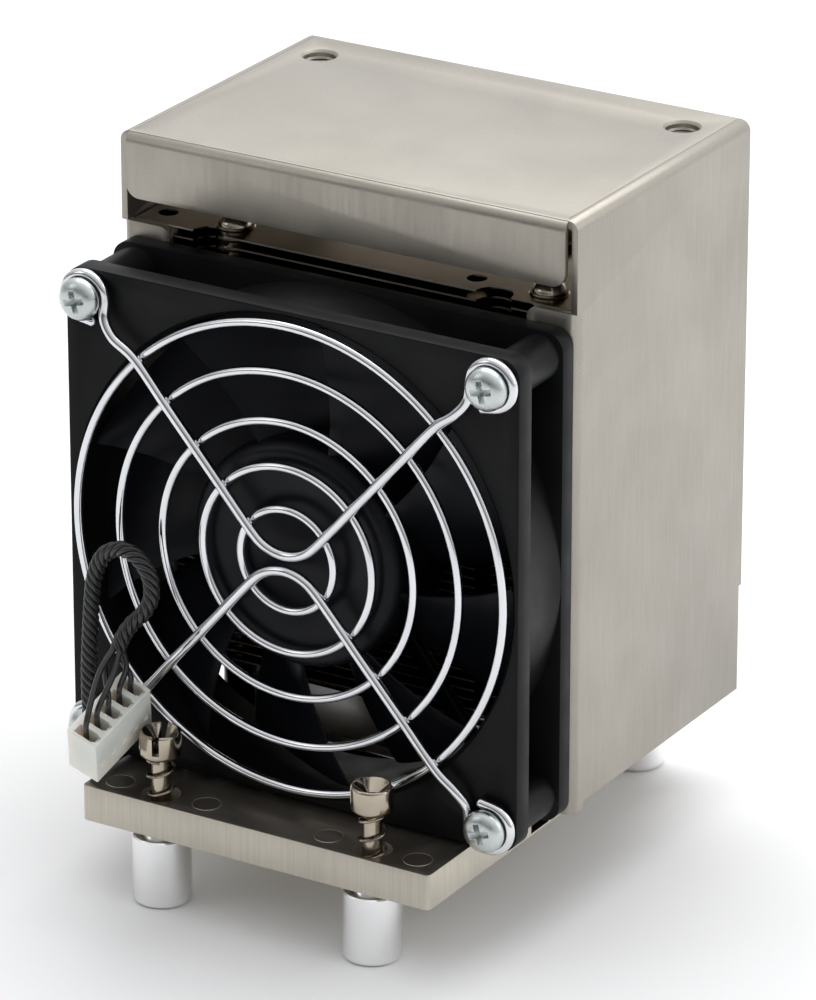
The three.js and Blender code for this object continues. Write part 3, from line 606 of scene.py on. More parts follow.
def bright_metal(name, colour, roughness, variation=0.06, wear=0.25, scale=420, stretch=(1, 1, 1)):
    """Turned, drawn or plated metal with a fine grain and slight tarnish."""
    material, tree, shader = start_material(name, colour, roughness, 1.0)
    tarnish = spread(tree, noise(tree, 130, 4), 0.42, 0.75, 0.0, wear)
    link(tree, blend_colours(tree, tarnish, colour, darker(colour, 0.62)), shader.inputs["Base Color"])
    grain = noise(tree, scale, 3, stretch)
    link(tree, spread(tree, grain, 0.3, 0.7, roughness, roughness + variation), shader.inputs["Roughness"])
    add_bump(tree, shader, None, grain, 0.08, 0.01)
    return material


def moulded_plastic(name, colour, lighter, roughness, grain_scale=1800, bump=0.15, shine=0.45):
    """Moulded plastic: fine spark-eroded grain, and a little uneven gloss."""
    material, tree, shader = start_material(name, colour, roughness, 0.0)
    shader.inputs["Specular IOR Level"].default_value = shine
    haze = spread(tree, noise(tree, 90, 4), 0.35, 0.75, 0.0, 1.0)
    link(tree, blend_colours(tree, haze, colour, lighter), shader.inputs["Base Color"])
    gloss = spread(tree, noise(tree, 160, 4), 0.3, 0.75, roughness - 0.05, roughness + 0.09)
    link(tree, gloss, shader.inputs["Roughness"])
    add_bump(tree, shader, None, noise(tree, grain_scale, 2), bump, 0.03)
    return material


def pipe_metal(name):
    """Plated pipes: bright at their domed ends, with painted shade darkening them below the top fin."""
    material, tree, shader = start_material(name, (0.5, 0.45, 0.37), 0.16, 1.0)
    tarnish = spread(tree, noise(tree, 130, 4), 0.42, 0.75, 0.0, 0.4)
    colour = blend_colours(tree, tarnish, *PIPE_TONES)
    # painted shade on the pipes below the top fin
    link(tree, paint_shade_past(tree, colour, "Z", BELOW_TOP_FIN), shader.inputs["Base Color"])
    link(tree, spread(tree, noise(tree, 400, 3), 0.3, 0.7, 0.14, 0.22), shader.inputs["Roughness"])
    add_bump(tree, shader, None, noise(tree, 300, 3), 0.06, 0.02)
    return material


def fin_metal(name):
    """Thin plated fins: dark and nearly a mirror on their faces, with a painted highlight along their
    front-facing sheared edges.
    """
    material, tree, shader = start_material(name, (0.2, 0.16, 0.11), 0.2, 1.0)
    # 1 on faces turned to the front, where the painted highlight goes
    edge = spread(tree, facing(tree, "Y"), -0.95, -0.75, 1.0, 0.0)
    clouds = spread(tree, noise(tree, 60, 5, distortion=0.8), 0.38, 0.68, 0.0, 1.0)
    face = blend_colours(tree, clouds, *FIN_FACE)
    link(tree, blend_colours(tree, edge, face, FIN_EDGE_HIGHLIGHT), shader.inputs["Base Color"])
    link(tree, spread(tree, edge, 0, 1, 0.19, 0.42), shader.inputs["Roughness"])
    add_bump(tree, shader, None, noise(tree, 900, 3), 0.05, 0.02)
    return material


FAN_BLACK = ((0.0035, 0.0037, 0.0042), (0.0065, 0.0068, 0.0075))
BLADE_BLACK = ((0.004, 0.0045, 0.006), (0.0075, 0.008, 0.0105))
WIRE_BLACK = ((0.006, 0.006, 0.006), (0.012, 0.012, 0.012))
COPPER = (0.58, 0.28, 0.12)
WINDING_STRETCH = (0.1, 1, 0.1)
MATERIALS = {
    "sheet_shroud": sheet_metal("shroud_sheet", (0.395, 0.368, 0.322), (0.33, 0.304, 0.262), 0.4),
    "plated_base": base_metal("plated_block"),
    "plated_fin": fin_metal("plated_fins"),
    "plated_pipe": pipe_metal("plated_pipes"),
    "bright_sleeve": bright_metal("drawn_sleeves", (0.90, 0.90, 0.90), 0.16, 0.1, 0.1, 900, (1, 1, 0.05)),
    "nickel_screw": bright_metal("nickel_screws", (0.47, 0.41, 0.33), 0.13, 0.08, 0.45, 700),
    "spring_steel": bright_metal("spring_wire", (0.36, 0.31, 0.26), 0.2, 0.1, 0.4),
    "guard_chrome": bright_metal("guard_wire", (0.74, 0.75, 0.77), 0.07, 0.08, 0.25, 900),
    "zinc_screw": bright_metal("zinc_screws", (0.60, 0.64, 0.63), 0.24, 0.14, 0.5, 900),
    "terminal_metal": bright_metal("terminals", (0.78, 0.68, 0.45), 0.25),
    "bearing_steel": bright_metal("bearing_rings", (0.66, 0.66, 0.67), 0.2),
    "copper_winding": bright_metal("stator_winding", COPPER, 0.32, 0.15, 0.4, 1500, WINDING_STRETCH),
    "fan_plastic": moulded_plastic("fan_black", *FAN_BLACK, 0.42, shine=0.13),
    "magnet": moulded_plastic("magnet_ring", (0.05, 0.045, 0.045), (0.08, 0.075, 0.07), 0.6),
    "circuit_board": moulded_plastic("circuit_board", (0.015, 0.10, 0.04), (0.03, 0.15, 0.07), 0.35),
    "white_nylon": moulded_plastic("nylon_white", (0.84, 0.81, 0.72), (0.88, 0.86, 0.79), 0.42, 900, 0.1),
    "wire_jacket": moulded_plastic("wire_black", *WIRE_BLACK, 0.3, 1200, 0.1, 0.6),
}
BLADE_PLASTIC = moulded_plastic("blade_black", *BLADE_BLACK, 0.33, 2200, 0.1, 0.14)
nylon_shader = MATERIALS["white_nylon"].node_tree.nodes["Principled BSDF"]
nylon_shader.inputs["Subsurface Weight"].default_value = 0.15


# ---- camera, floor and light
def add_camera():
    data = bpy.data.cameras.new("camera")
    data.lens = CAMERA_LENS
    data.sensor_width = 36
    data.clip_end = 20
    camera = add_object("camera", data)
    camera.location = [value * MM for value in CAMERA_PLACE]
    camera.rotation_euler = (math.radians(CAMERA_TILT), 0, math.radians(CAMERA_TURN))
    bpy.context.scene.camera = camera


def add_light(name, place, size, power):
    data = bpy.data.lights.new(name, "AREA")
    data.shape = "RECTANGLE"
    data.size, data.size_y = size
    data.energy = power
    lamp = add_object(name, data)
    lamp.location = place
    lamp.rotation_euler = (Vector(LIGHT_AIM) - Vector(place)).to_track_quat("-Z", "Y").to_euler()


def add_studio():
    top = SLEEVE["bottom"] - FLOOR["drop"]
    half = FLOOR["half"]
    floor = box("floor", -half, half, -half, half, top - FLOOR["thick"], top)
    material, tree, shader = start_material("floor_paper", (0.86, 0.86, 0.86), 0.75, 0.0)
    tone = spread(tree, noise(tree, 4, 3), 0.3, 0.7, 0.0, 1.0)
    paper = blend_colours(tree, tone, (0.85, 0.85, 0.85), (0.88, 0.88, 0.88))
    link(tree, paper, shader.inputs["Base Color"])
    floor.data.materials.append(material)
    add_dome()
    for name, (place, size, power) in LIGHTS.items():
        add_light(name, place, size, power)
    bpy.context.scene.view_settings.view_transform = "Standard"


def add_dome():
    """A soft dome, brightest above and behind and dimmer towards the front."""
    world = bpy.data.worlds.new("studio")
    world.use_nodes = True
    tree = world.node_tree
    background = tree.nodes["Background"]
    background.inputs["Color"].default_value = (0.97, 0.98, 1.0, 1)
    place = tree.nodes.new("ShaderNodeTexCoord")
    lean = tree.nodes.new("ShaderNodeVectorMath")
    lean.operation = "DOT_PRODUCT"
    lean.inputs[1].default_value = DOME_AXIS
    link(tree, place.outputs["Generated"], lean.inputs[0])
    level = spread(tree, lean.outputs["Value"], *DOME_SPAN, *DOME_LEVELS)
    link(tree, level, background.inputs["Strength"])
    bpy.context.scene.world = world


# ---- lead and connector
def housing_point(along, down, across):
    return HOUSING_CORNER + HOUSING_ALONG * along + HOUSING_DOWN * down + HOUSING_ACROSS * across


def channel_centre(way):
    return CHANNEL["first"] + CHANNEL["pitch"] * way


def channel_middle():
    """Halfway between the walls in front of and behind the channels."""
    return (CHANNEL["wall"] + HOUSING["depth"] - CHANNEL["back"]) / 2


def strand_paths(path):
    """The five wires' own paths, wound about the lead's centreline."""
    frames = travelling_frames(path)
    strands = [[] for _ in range(LEAD_STRANDS)]
    travelled = 0.0
    for i, point in enumerate(path):
        if i:
            travelled += (point - path[i - 1]).length
        side, lift = frames[i]
        for strand in range(LEAD_STRANDS):
            angle = 2 * math.pi * (travelled / STRAND_LAY + strand / LEAD_STRANDS)
            outward = side * math.cos(angle) + lift * math.sin(angle)
            strands[strand].append(point + outward * STRAND_OFFSET)
    return strands


def make_housing():
    block = rounded(0, HOUSING["length"], 0, HOUSING["depth"], [HOUSING["corner"]] * 4, 3)
    body = prism("housing", block, 0, HOUSING["height"])
    front, back = CHANNEL["wall"], HOUSING["depth"] - CHANNEL["back"]
    pin = PIN_WAY["half"]
    pin_front, pin_back = channel_middle() - pin, channel_middle() + pin
    low = HOUSING["height"] + PAST
    for way in range(LEAD_STRANDS):
        x = channel_centre(way)
        half = CHANNEL["width"] / 2
        cut(body, box("channel", x - half, x + half, front, back, -PAST, CHANNEL["depth"]))
        half, reach = MOUTH["half"], front + MOUTH["reach"]
        cut(body, box("notch", x - half, x + half, MOUTH["front"], reach, -PAST, MOUTH["depth"]))
        cut(body, box("pin_way", x - pin, x + pin, pin_front, pin_back, PIN_WAY["top"], low))
        half = WINDOW["half"]
        cut(body, box("window", x - half, x + half, -PAST, WINDOW["depth"], WINDOW["top"], WINDOW["bottom"]))
    soften(body, 0.12, 2)
    matrix = Matrix.Identity(4)
    for column, direction in enumerate((HOUSING_ALONG, HOUSING_ACROSS, HOUSING_DOWN)):
        for row in range(3):
            matrix[row][column] = direction[row]
    matrix.translation = HOUSING_CORNER * MM
    body.data.transform(matrix)
    if matrix.determinant() < 0:
        body.data.flip_normals()
    body.name = "nylon_housing"
    return finish_piece(body, "white_nylon", ["connector_housing"])


def make_lead():
    housing = make_housing()
    path = spline(LEAD_ROUTE, 10)
    strands = strand_paths(path)
    rope = gather("lead_rope", [sweep("strand", strand, STRAND_RADIUS, 12, dome=True) for strand in strands])
    soften(rope)
    finish_piece(rope, "wire_jacket", ["fan_lead"])
    middle = channel_middle()
    ends = sorted((strand[-1] for strand in strands), key=lambda point: point.y)
    for way in range(LEAD_STRANDS):
        x = channel_centre(way)
        start = ends[way]
        entry = housing_point(x, TAIL["gather"], middle - TAIL["lean"])
        heading = (start - path[-4]).normalized()
        onward = start + heading * TAIL["slack"] + (entry - start) * TAIL["pull"]
        inside = [housing_point(x, TAIL[depth], middle) for depth in ("mouth", "crimp")]
        route = [start, onward, entry, *inside]
        tail = sweep(f"wire_tail_{way + 1}", spline(route, 8), STRAND_RADIUS, 12)
        soften(tail)
        finish_piece(tail, "wire_jacket", [f"lead_wire_{way + 1}"])


# ---- base and screws
def pipe_legs(row):
    sign = 1 if row % 2 == 0 else -1
    return sorted((-sign * PIPE_NEAR, sign * PIPE_FAR))


def make_base():
    half_x, half_y, top = BASE["half_x"], BASE["half_y"], BASE["top"]
    outline = rounded(-half_x, half_x, -half_y, half_y, [BASE["corner"]] * 4, 5)
    plate = prism("base_block", outline, 0, top)
    above = ABOVE_BASE
    half, reach = GROOVE["half"], PIPE_RADIUS + GAP
    floor = PIPE_AXIS - reach + GROOVE["rise"]
    for y in PIPE_ROWS:
        cut(plate, box("groove", -half, half, y - reach, y + reach, floor, above))
    for side_x, side_y in CORNERS.values():
        centre = (side_x * MOUNT_X, side_y * MOUNT_Y)
        cut(plate, prism("well", circle(*centre, WELL_RADIUS), WELL_FLOOR, above))
        cut(plate, prism("way", circle(*centre, NECK["bore"]), 1, above))
        cut(plate, prism("socket", circle(*centre, NECK["radius"] + GAP), -PAST, NECK["room"]))
    pins = [name for name in frame["nodes"] if name.startswith("base_pin")]
    for name in pins:
        low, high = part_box(name)
        x, y = ((low[i] + high[i]) / 2 / MM for i in (0, 1))
        cut(plate, prism("pin_hole", circle(x, y, PIN["radius"] + GAP / 2), top - PIN["hole"], above))
        pin = prism(f"flush_{name}", circle(x, y, PIN["radius"]), top - PIN["depth"], top - PIN["sunk"])
        soften(pin, 0.05, 1)
        finish_piece(pin, "plated_base", [name])
    soften(plate, 0.22, 2)
    finish_piece(plate, "plated_base", ["base_plate"])


def make_sleeve(name, x, y):
    bore, foot, shoulder = SLEEVE["bore"], SLEEVE["bottom"], SLEEVE["shoulder"]
    profile = [
        (bore, foot), *SLEEVE_FOOT, (SLEEVE["radius"], -0.9), (5.11, SLEEVE["top"]),
        (NECK["radius"], SLEEVE["top"]), (NECK["radius"], NECK["top"]), (NECK["bore"], NECK["top"]),
        (NECK["bore"], shoulder), (bore, shoulder), (bore, foot),
    ]
    sleeve = lathe(f"sleeve_tube_{name}", profile, "z", (x, y), 72)
    soften(sleeve)
    finish_piece(sleeve, "bright_sleeve", [f"sleeve_{name}"])


def make_screw(name, x, y):
    screw = lathe(f"screw_{name}", SCREW_PROFILE, "z", (0, 0), 64)
    reach, half = SLOT["reach"], SLOT["half"]
    cut(screw, box("slot", -reach, reach, -half, half, SLOT["floor"], SLOT["top"]))
    soften(screw, 0.07, 2)
    turn = Matrix.Rotation(SLOT_TURNS[name] - math.pi / 2, 4, "Z")
    screw.data.transform(Matrix.Translation((x * MM, y * MM, 0)) @ turn)
    finish_piece(screw, "nickel_screw", [f"captive_screw_{name}"], f"screw_{name}")


def make_spring(name, x, y):
    wire, coil = SPRING["wire"], SPRING["coil"]
    low, high = SPRING["low"] + wire, SPRING["high"] - wire
    turns, end_turns, end_rise = SPRING_TURNS["all"], SPRING_TURNS["end"], SPRING_TURNS["end_rise"]
    steps = SPRING_TURNS["steps"]
    points = []
    for i in range(steps + 1):
        turn = turns * i / steps
        share = min(1.0, max(0.0, (turn - end_turns) / (turns - 2 * end_turns)))
        height = low + end_rise * min(turn, end_turns) / end_turns
        height += (high - low - 2 * end_rise) * share
        height += end_rise * max(0.0, turn - turns + end_turns) / end_turns
        angle = 2 * math.pi * (turn + SPRING_STARTS[name])
        points.append((x + coil * math.cos(angle), y + coil * math.sin(angle), height))
    spring = sweep(f"spring_{name}", points, wire, 10)
    soften(spring)
    finish_piece(spring, "spring_steel", [f"screw_spring_{name}"])
    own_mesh(spring)


# ---- heat pipes and fins
def make_pipes():
    for row, y in enumerate(PIPE_ROWS):
        left, right = pipe_legs(row)
        start = PIPE_AXIS + PIPE_BEND
        tip = PIPE_TOP - PIPE_RADIUS * DOME_SHARE
        turns = [math.radians(90 * i / PIPE_STEPS) for i in range(1, PIPE_STEPS + 1)]
        path = [(left, y, tip), (left, y, PIPE_MIDDLE), (left, y, start)]
        for angle in turns:
            path.append((left + PIPE_BEND * (1 - math.cos(angle)), y, start - PIPE_BEND * math.sin(angle)))
        path.append((right - PIPE_BEND, y, PIPE_AXIS))
        for angle in turns:
            path.append((right - PIPE_BEND * (1 - math.sin(angle)), y, start - PIPE_BEND * math.cos(angle)))
        path += [(right, y, PIPE_MIDDLE), (right, y, tip)]
        pipe = sweep(f"pipe_{row + 1}", path, PIPE_RADIUS, 32, dome=True)
        soften(pipe)
        finish_piece(pipe, "plated_pipe", [f"heat_pipe_{row + 1}"])


def make_collar(x, y, fin_top):
    """The short upturned collar where a fin grips a pipe."""
    inner, outer = PIPE_RADIUS + GAP, PIPE_RADIUS + COLLAR["wall"]
    low, top = fin_top - FIN["sheet"] + COLLAR["sunk"], fin_top + COLLAR["height"]
    ring = [
        (inner, low), (outer + COLLAR["flare"], fin_top - COLLAR["lap"]), (outer, fin_top + COLLAR["bend"]),
        (outer, top), (inner, top), (inner, low),
    ]
    return lathe("collar", ring, "z", (x, y), 32)


def make_fin(name, z, holes=()):
    half, front, back = FIN["half"], FIN["front"], FIN["back"]
    below, above = z - PAST, z + PAST
    plate = box(name, -half, half, front, back, z, z + FIN["sheet"])
    for side in (-1, 1):
        cut(plate, prism("notch", circle(side * NOTCH_X, front, NOTCH_RADIUS, 32), below, above))
    collars = []
    for row, y in enumerate(PIPE_ROWS):
        for x in pipe_legs(row):
            cut(plate, prism("leg_hole", circle(x, y, PIPE_RADIUS + GAP, 32), below, above))
            collars.append(make_collar(x, y, z + FIN["sheet"]))
    for x, y in holes:
        cut(plate, prism("hole", circle(x, y, FIN_HOLES["radius"], 24), below, above))
    folds = []
    for side in (-1, 1):
        inner, outer = sorted((side * half, side * (half - FOLD["thick"])))
        low = z - FIN["pitch"] + FOLD["gap"]
        folds.append(box("fold", inner, outer, front + FOLD["inset"], back - FOLD["inset"], low, z))
    return gather(name, [plate, *collars, *folds])


def make_fins():
    first = make_fin("fins", FIN_HEIGHTS["top"] - FIN["pitch"])
    work = bmesh.new()
    count = int((FIN_HEIGHTS["top"] - FIN_HEIGHTS["lowest"]) / FIN["pitch"])
    for index in range(count):
        layer = first.data.copy()
        layer.transform(Matrix.Translation((0, 0, -index * FIN["pitch"] * MM)))
        work.from_mesh(layer)
        bpy.data.meshes.remove(layer)
    work.to_mesh(first.data)
    work.free()
    soften(first)
    finish_piece(first, "plated_fin", ["fin_pack_1", "fin_pack_2", "fin_pack_3"])
    top = make_fin("fin_at_top", FIN_HEIGHTS["top"], FIN_HOLES["places"])
    soften(top)
    finish_piece(top, "plated_fin", ["top_fin"])


# ---- shroud
def arch_outline():
    """The lid and both sides seen from the front: round one way outside and back again inside."""
    half, top, bottom = SHROUD["half"], SHROUD["top"], SHROUD["bottom"]
    inside = BEND - SHEET
    outer = rounded(-half, half, bottom, top, [0, 0, BEND, BEND], BEND_STEPS)
    inner = rounded(-half + SHEET, half - SHEET, bottom, top - SHEET, [0, 0, inside, inside], BEND_STEPS)
    left_foot, right_foot = outer[0], outer[1]
    arch = [left_foot] + outer[:1:-1] + [right_foot]
    return arch + [inner[1]] + inner[2:] + [inner[0]]


def bent_corner(side):
    """The folded tab beside the fan, seen from above: a short flange, a round bend and a bit of panel."""
    front, half, deep = SHROUD["front"], SHROUD["half"], SHROUD["front"] + TAB["deep"]
    centre_x, centre_y = half - BEND, front + BEND
    outline = [(TAB["inner"], front)]
    outline += arc(centre_x, centre_y, BEND, -90, 90, TAB["steps"])
    outline += [(half, deep), (half - SHEET, deep)]
    outline += arc(centre_x, centre_y, BEND - SHEET, 0, -90, TAB["steps"])
    outline.append((TAB["inner"], front + SHEET))
    return [(side * x, y) for x, y in outline]


def tapped_profile(radius, low, top):
    """The outline of a tapped hole's cutter: one groove for each turn of thread, and a countersink."""
    profile = [(0, low)]
    height = low
    while height < top - THREAD["land"]:
        profile += [(radius - THREAD["depth"], height), (radius, height + THREAD["pitch"] / 2)]
        height += THREAD["pitch"]
    wide, past = THREAD["sink_width"], THREAD["past"]
    profile += [(radius, top - THREAD["sink"]), (radius + wide, top), (radius + wide + past / 2, top + past)]
    return profile + [(0, top + past)]


def make_lip():
    """The lid's folded front edge, with rounded lower corners."""
    back = SHROUD["front"] + LIP["lap"]
    front, half, bottom, top = LIP["front"], LIP["half"], LIP["bottom"], SHROUD["top"]
    outer = rounded(front, back, bottom, top, [0, 0, 0, BEND], BEND_STEPS)
    lip = prism("lip", outer, -half, half, "x")
    inside = [0, 0, 0, BEND - SHEET]
    hollow = rounded(front + SHEET, back + PAST, bottom - PAST, top - SHEET, inside, BEND_STEPS)
    cut(lip, prism("hollow", hollow, -OUTSIDE, OUTSIDE, "x"))
    face = rounded(-half, half, bottom, top + PAST, [LIP["corner"], LIP["corner"], 0, 0], 8)
    combine(lip, prism("face", face, front - PAST, back + PAST, "y"), "INTERSECT")
    return lip


def make_tab(side):
    tab = prism("tab", bent_corner(side), TAB["bottom"], TAB["top"])
    inner, outer = sorted((side * TAB["inner"], side * OUTSIDE))
    radii = [0, 0, 0, TAB["corner"]] if side > 0 else [0, 0, TAB["corner"], 0]
    limit = prism("limit", rounded(inner, outer, 0, TAB["top"], radii, 8), TAB["before"], 0, "y")
    combine(tab, limit, "INTERSECT")
    return tab


def make_shroud():
    front, back, top = SHROUD["front"], SHROUD["back"], SHROUD["top"]
    shell = prism("shroud_sheet", arch_outline(), front, back, "y")
    cut(shell, box("low_back", -OUTSIDE, OUTSIDE, SHROUD["low_back"], OUTSIDE, 0, STEP_Z))
    join(shell, make_lip())
    for side in (-1, 1):
        inner, outer = sorted((side * (SHROUD["half"] - BEND), side * OUTSIDE))
        low = SHROUD["bottom"] - PAST
        cut(shell, box("corner", inner, outer, front - PAST, front + BEND, low, TAB["top"]))
        join(shell, make_tab(side))
        x, y = side * LID_HOLE["x"], LID_HOLE["y"]
        low = top - SHEET - LID_HOLE["depth"]
        join(shell, prism("collar", circle(x, y, LID_HOLE["collar"]), low, top - SHEET / 2))
        cut(shell, lathe("bore", tapped_profile(LID_HOLE["radius"], low - PAST, top), "z", (x, y), 48))
        for level in (-1, 1):
            hole = circle(side * HOLE_OFFSET, FAN_Z + level * HOLE_OFFSET, FAN_SCREW_HOLE["radius"], 32)
            near, far = front - FAN_SCREW_HOLE["before"], front + FAN_SCREW_HOLE["behind"]
            cut(shell, prism("tapped", hole, near, far, "y"))
        line = side * (SHROUD["half"] - BEND - BEND_LINE["inset"])
        left, right = line - BEND_LINE["half"], line + BEND_LINE["half"]
        low = top - BEND_LINE["depth"]
        cut(shell, box("bend_line", left, right, front + PAST, back + PAST, low, top + PAST))
    soften(shell, 0.1, 2, 40)
    finish_piece(shell, "sheet_shroud", ["shroud"])


# ---- fan
def fan_corners():
    for level, vertical in (("upper", 1), ("lower", -1)):
        for hand, across in (("left", -1), ("right", 1)):
            yield f"{level}_{hand}", across * HOLE_OFFSET, FAN_Z + vertical * HOLE_OFFSET


def make_motor_carrier():
    """The cup behind the motor and the struts that hold it."""
    carrier = lathe("carrier", CARRIER_PROFILE, "y", (0, FAN_Z), 96)
    for strut in range(STRUT["count"]):
        turn = Matrix.Rotation((strut + STRUT["phase"]) * math.pi / 2, 4, "Y")
        half = STRUT["half"]
        bar = rounded(-half, half, STRUT["front"], STRUT["back"], [0.6, 0.6, 0.3, 0.3], 4)
        beam = prism("strut", [(b, a) for a, b in bar], STRUT["inner"], BORE + STRUT["into"], "x")
        beam.data.transform(Matrix.Translation((0, 0, FAN_Z * MM)) @ turn)
        join(carrier, beam)
    return carrier


def make_fan_frame():
    before, behind = FAN_FRONT - PAST, FAN_REAR + PAST
    square = rounded(-FAN_HALF, FAN_HALF, FAN_Z - FAN_HALF, FAN_Z + FAN_HALF, [FRAME["corner"]] * 4, 8)
    barrel = circle(0, FAN_Z, FAN_HALF - FRAME["barrel_inset"], 120)
    body = prism("fan_housing", square, FAN_FRONT, FAN_FRONT + FLANGE_FRONT, "y")
    join(body, prism("rear_flange", square, FAN_REAR - FLANGE_REAR, FAN_REAR, "y"))
    join(body, prism("barrel", barrel, FAN_FRONT + PAST, FAN_REAR - PAST, "y"))
    for _, x, z in fan_corners():
        boss = circle(x, z, FRAME["boss"], 40)
        join(body, prism("boss", boss, FAN_FRONT + PAST, FAN_REAR - PAST, "y"))
    wide, narrow = BORE + BORE_MOUTH["wide"], BORE + BORE_MOUTH["narrow"]
    mouth = [(0, before), (wide, before), (wide, FAN_FRONT), (narrow, FAN_FRONT + BORE_MOUTH["step"])]
    mouth += [(BORE, FAN_FRONT + BORE_MOUTH["deep"]), (BORE, behind), (0, behind)]
    cut(body, lathe("bore", mouth, "y", (0, FAN_Z), 120))
    for _, x, z in fan_corners():
        cut(body, prism("hole", circle(x, z, FRAME["hole"], 32), before, behind, "y"))
    join(body, make_motor_carrier())
    soften(body, 0.28, 2, 40)
    finish_piece(body, "fan_plastic", ["fan_frame"])


def blade_point(share, reach, side, index):
    """A point on a blade: share along its chord from the front edge, reach from root to tip."""
    radius = BLADE["root"] + (BLADE["tip"] - BLADE["root"]) * reach
    lean = BLADE["sweep"] * (radius - BLADE["phase_radius"])
    angle = math.radians(BLADE["phase"] + lean + index * 360 / BLADES - BLADE["chord"] * share)
    rounding = math.sqrt(max(0.0, 1 - (2 * share - 1) ** 8))
    thin = BLADE_FORM["thin"]
    thick = side * BLADE_FORM["thick"] * (thin + (1 - thin) * rounding)
    camber = BLADE_FORM["camber"] * math.sin(math.pi * share)
    y = BLADE_FORM["front"] + BLADE_FORM["rake"] * share + camber + thick * BLADE_SKEW["lift"]
    turn = angle + thick * BLADE_SKEW["push"] / radius
    return (radius * math.cos(turn), y, FAN_Z + radius * math.sin(turn))


def make_blade(index, across=18, along=12):
    points = []
    for side in (-0.5, 0.5):
        for i in range(across + 1):
            for j in range(along + 1):
                points.append(blade_point(i / across, j / along, side, index))
    layer = (across + 1) * (along + 1)
    faces = []
    for i in range(across):
        for j in range(along):
            a = i * (along + 1) + j
            quad = [a, a + 1, a + along + 2, a + along + 1]
            faces.append(quad)
            faces.append([corner + layer for corner in reversed(quad)])
    rim = list(range(along + 1))
    rim += [i * (along + 1) + along for i in range(1, across + 1)]
    rim += [across * (along + 1) + j for j in range(along - 1, -1, -1)]
    rim += [i * (along + 1) for i in range(across - 1, 0, -1)]
    for k, corner in enumerate(rim):
        after = rim[(k + 1) % len(rim)]
        faces.append([corner, after, after + layer, corner + layer])
    return add_mesh("blade", points, faces)


def make_impeller():
    front, curve, steps = HUB["front"], HUB_ROUND["radius"], HUB_ROUND["steps"]
    dish = front + HUB["dish_depth"]
    profile = [(0, dish), (HUB["dish"], dish), (HUB["dish_rim"], front), (HUB["flat"], front)]
    for i in range(1, steps + 1):
        angle = math.radians(90 * i / steps)
        profile.append((HUB_ROUND["from"] + curve * math.sin(angle), front + curve * (1 - math.cos(angle))))
    hub = lathe("hub", profile + HUB_INSIDE, "y", (0, FAN_Z), 96)
    rotor = gather("rotor", [hub] + [make_blade(index) for index in range(BLADES)])
    soften(rotor, 0, 2, 38)
    finish_piece(rotor, "fan_plastic", ["impeller"], "fan_rotor", BLADE_PLASTIC)


# ---- guard
def rib_half(side, level):
    """Half of a rib, from beside the middle of its bend out to the cut end of its eyelet."""
    tilt = math.radians(ARM["tilt"])
    bend_x = ARM["round"] * math.sin(tilt)
    bend_z = ARM["z"] + ARM["round"] * (1 - math.cos(tilt))
    points = []

    def add_from_centre(x, z):
        points.append((ARM["x"] + side * x, RIB_Y, FAN_Z + level * z))

    def add_from_screw(inward, towards, y):
        points.append((side * (HOLE_OFFSET - inward), y, FAN_Z + level * (HOLE_OFFSET - towards)))

    for share in (1 / 3, 2 / 3, 1):
        angle = tilt * share
        add_from_centre(ARM["round"] * math.sin(angle), ARM["z"] + ARM["round"] * (1 - math.cos(angle)))
    for x in ARM_REACHES:
        add_from_centre(x, bend_z + (x - bend_x) * math.tan(tilt))
    for inward, towards, y in ARM_END:
        add_from_screw(inward, towards, y)
    for i in range(EYELET_STEPS + 1):
        angle = math.radians(EYELET_TURN) * i / EYELET_STEPS
        add_from_screw(EYELET_RADIUS * math.cos(angle), -EYELET_RADIUS * math.sin(angle), EYELET_Y)
    add_from_screw(*EYELET_TAIL, EYELET_Y)
    return points


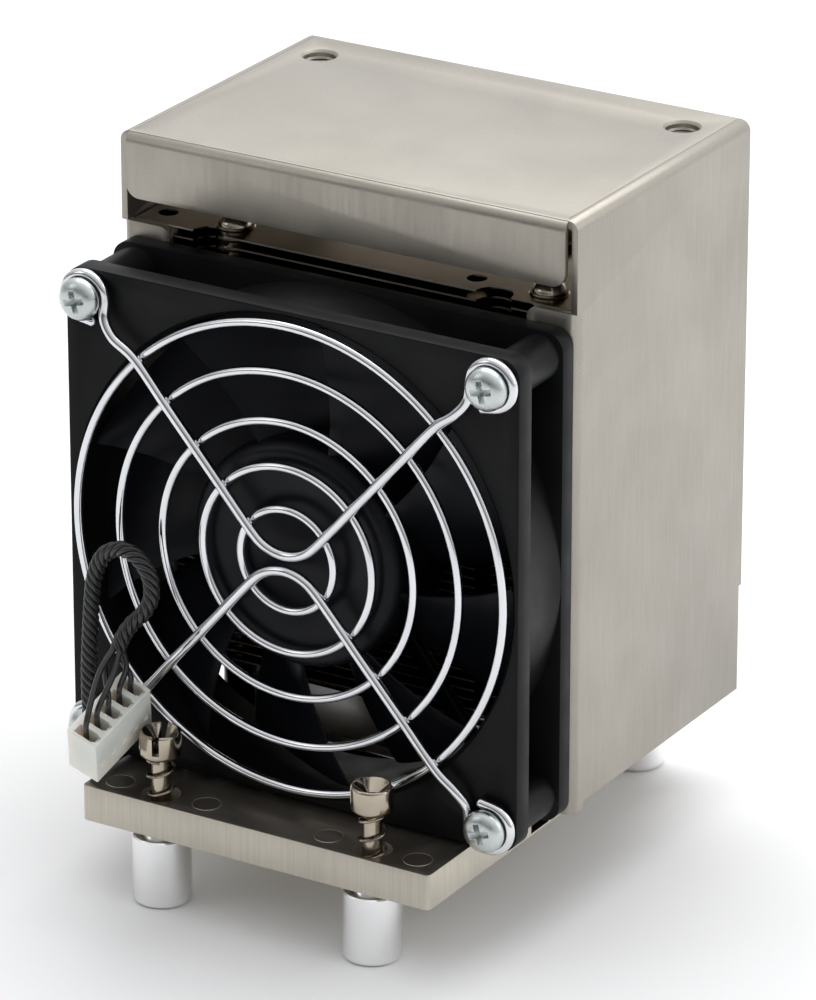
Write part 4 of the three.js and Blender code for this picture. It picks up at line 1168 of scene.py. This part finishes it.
def make_guard():
    parts = []
    for radius in GUARD_RADII:
        ring = [(x, RING_Y, z) for x, z in circle(0, FAN_Z, radius, 144)]
        parts.append(sweep("ring", ring, RING_WIRE, 20, closed=True))
    for level in (1, -1):
        middle = [(ARM["x"], RIB_Y, FAN_Z + level * ARM["z"])]
        route = rib_half(-1, level)[::-1] + middle + rib_half(1, level)
        parts.append(sweep("rib", spline(route, 12), RIB_WIRE, 20, dome=True))
    guard = gather("guard_wires", parts)
    soften(guard)
    finish_piece(guard, "guard_chrome", ["finger_guard"])


def make_guard_screw(name, x, z, turn):
    profile = PAN_SHANK + [(radius, HEAD_UNDER - rise) for radius, rise in PAN_HEAD]
    top = profile[-1][1]
    screw = lathe(f"pan_screw_{name}", profile, "y", (0, 0), 64)
    for quarter in range(2):
        bar = prism("recess", [(a, top + b) for a, b in RECESS], -RECESS_HALF, RECESS_HALF, "z")
        bar.data.transform(Matrix.Rotation(quarter * math.pi / 2 + turn, 4, "Y"))
        cut(screw, bar)
    soften(screw, 0.06, 2)
    screw.data.transform(Matrix.Translation((x * MM, 0, z * MM)))
    finish_piece(screw, "zinc_screw", [f"guard_screw_{name}"])


def dress_cad_nodes():
    """The pieces whose CAD shape is kept, each with its record slot's material."""
    slots = {part["node"]: part["material_slot"] for part in frame["record"]["subparts"]}
    kept = ["fan_shaft", "rotor_yoke", "rotor_magnet", "stator", "motor_board"]
    kept += ["bearing_front", "bearing_rear"]
    kept += [f"retaining_clip_{name}" for name in CORNERS]
    kept += [f"terminal_{way + 1}" for way in range(LEAD_STRANDS)]
    for name in kept:
        node = frame["nodes"][name]
        node.data.materials.clear()
        node.data.materials.append(MATERIALS[slots[name]])


add_camera()
make_lead()
add_studio()
make_base()
for corner_name, (side_x, side_y) in CORNERS.items():
    place = (side_x * MOUNT_X, side_y * MOUNT_Y)
    make_sleeve(corner_name, *place)
    make_screw(corner_name, *place)
    make_spring(corner_name, *place)
make_pipes()
make_fins()
make_shroud()
make_fan_frame()
make_impeller()
make_guard()
for screw_name, screw_x, screw_z in fan_corners():
    make_guard_screw(screw_name, screw_x, screw_z, SCREW_TURNS[screw_name])
dress_cad_nodes()
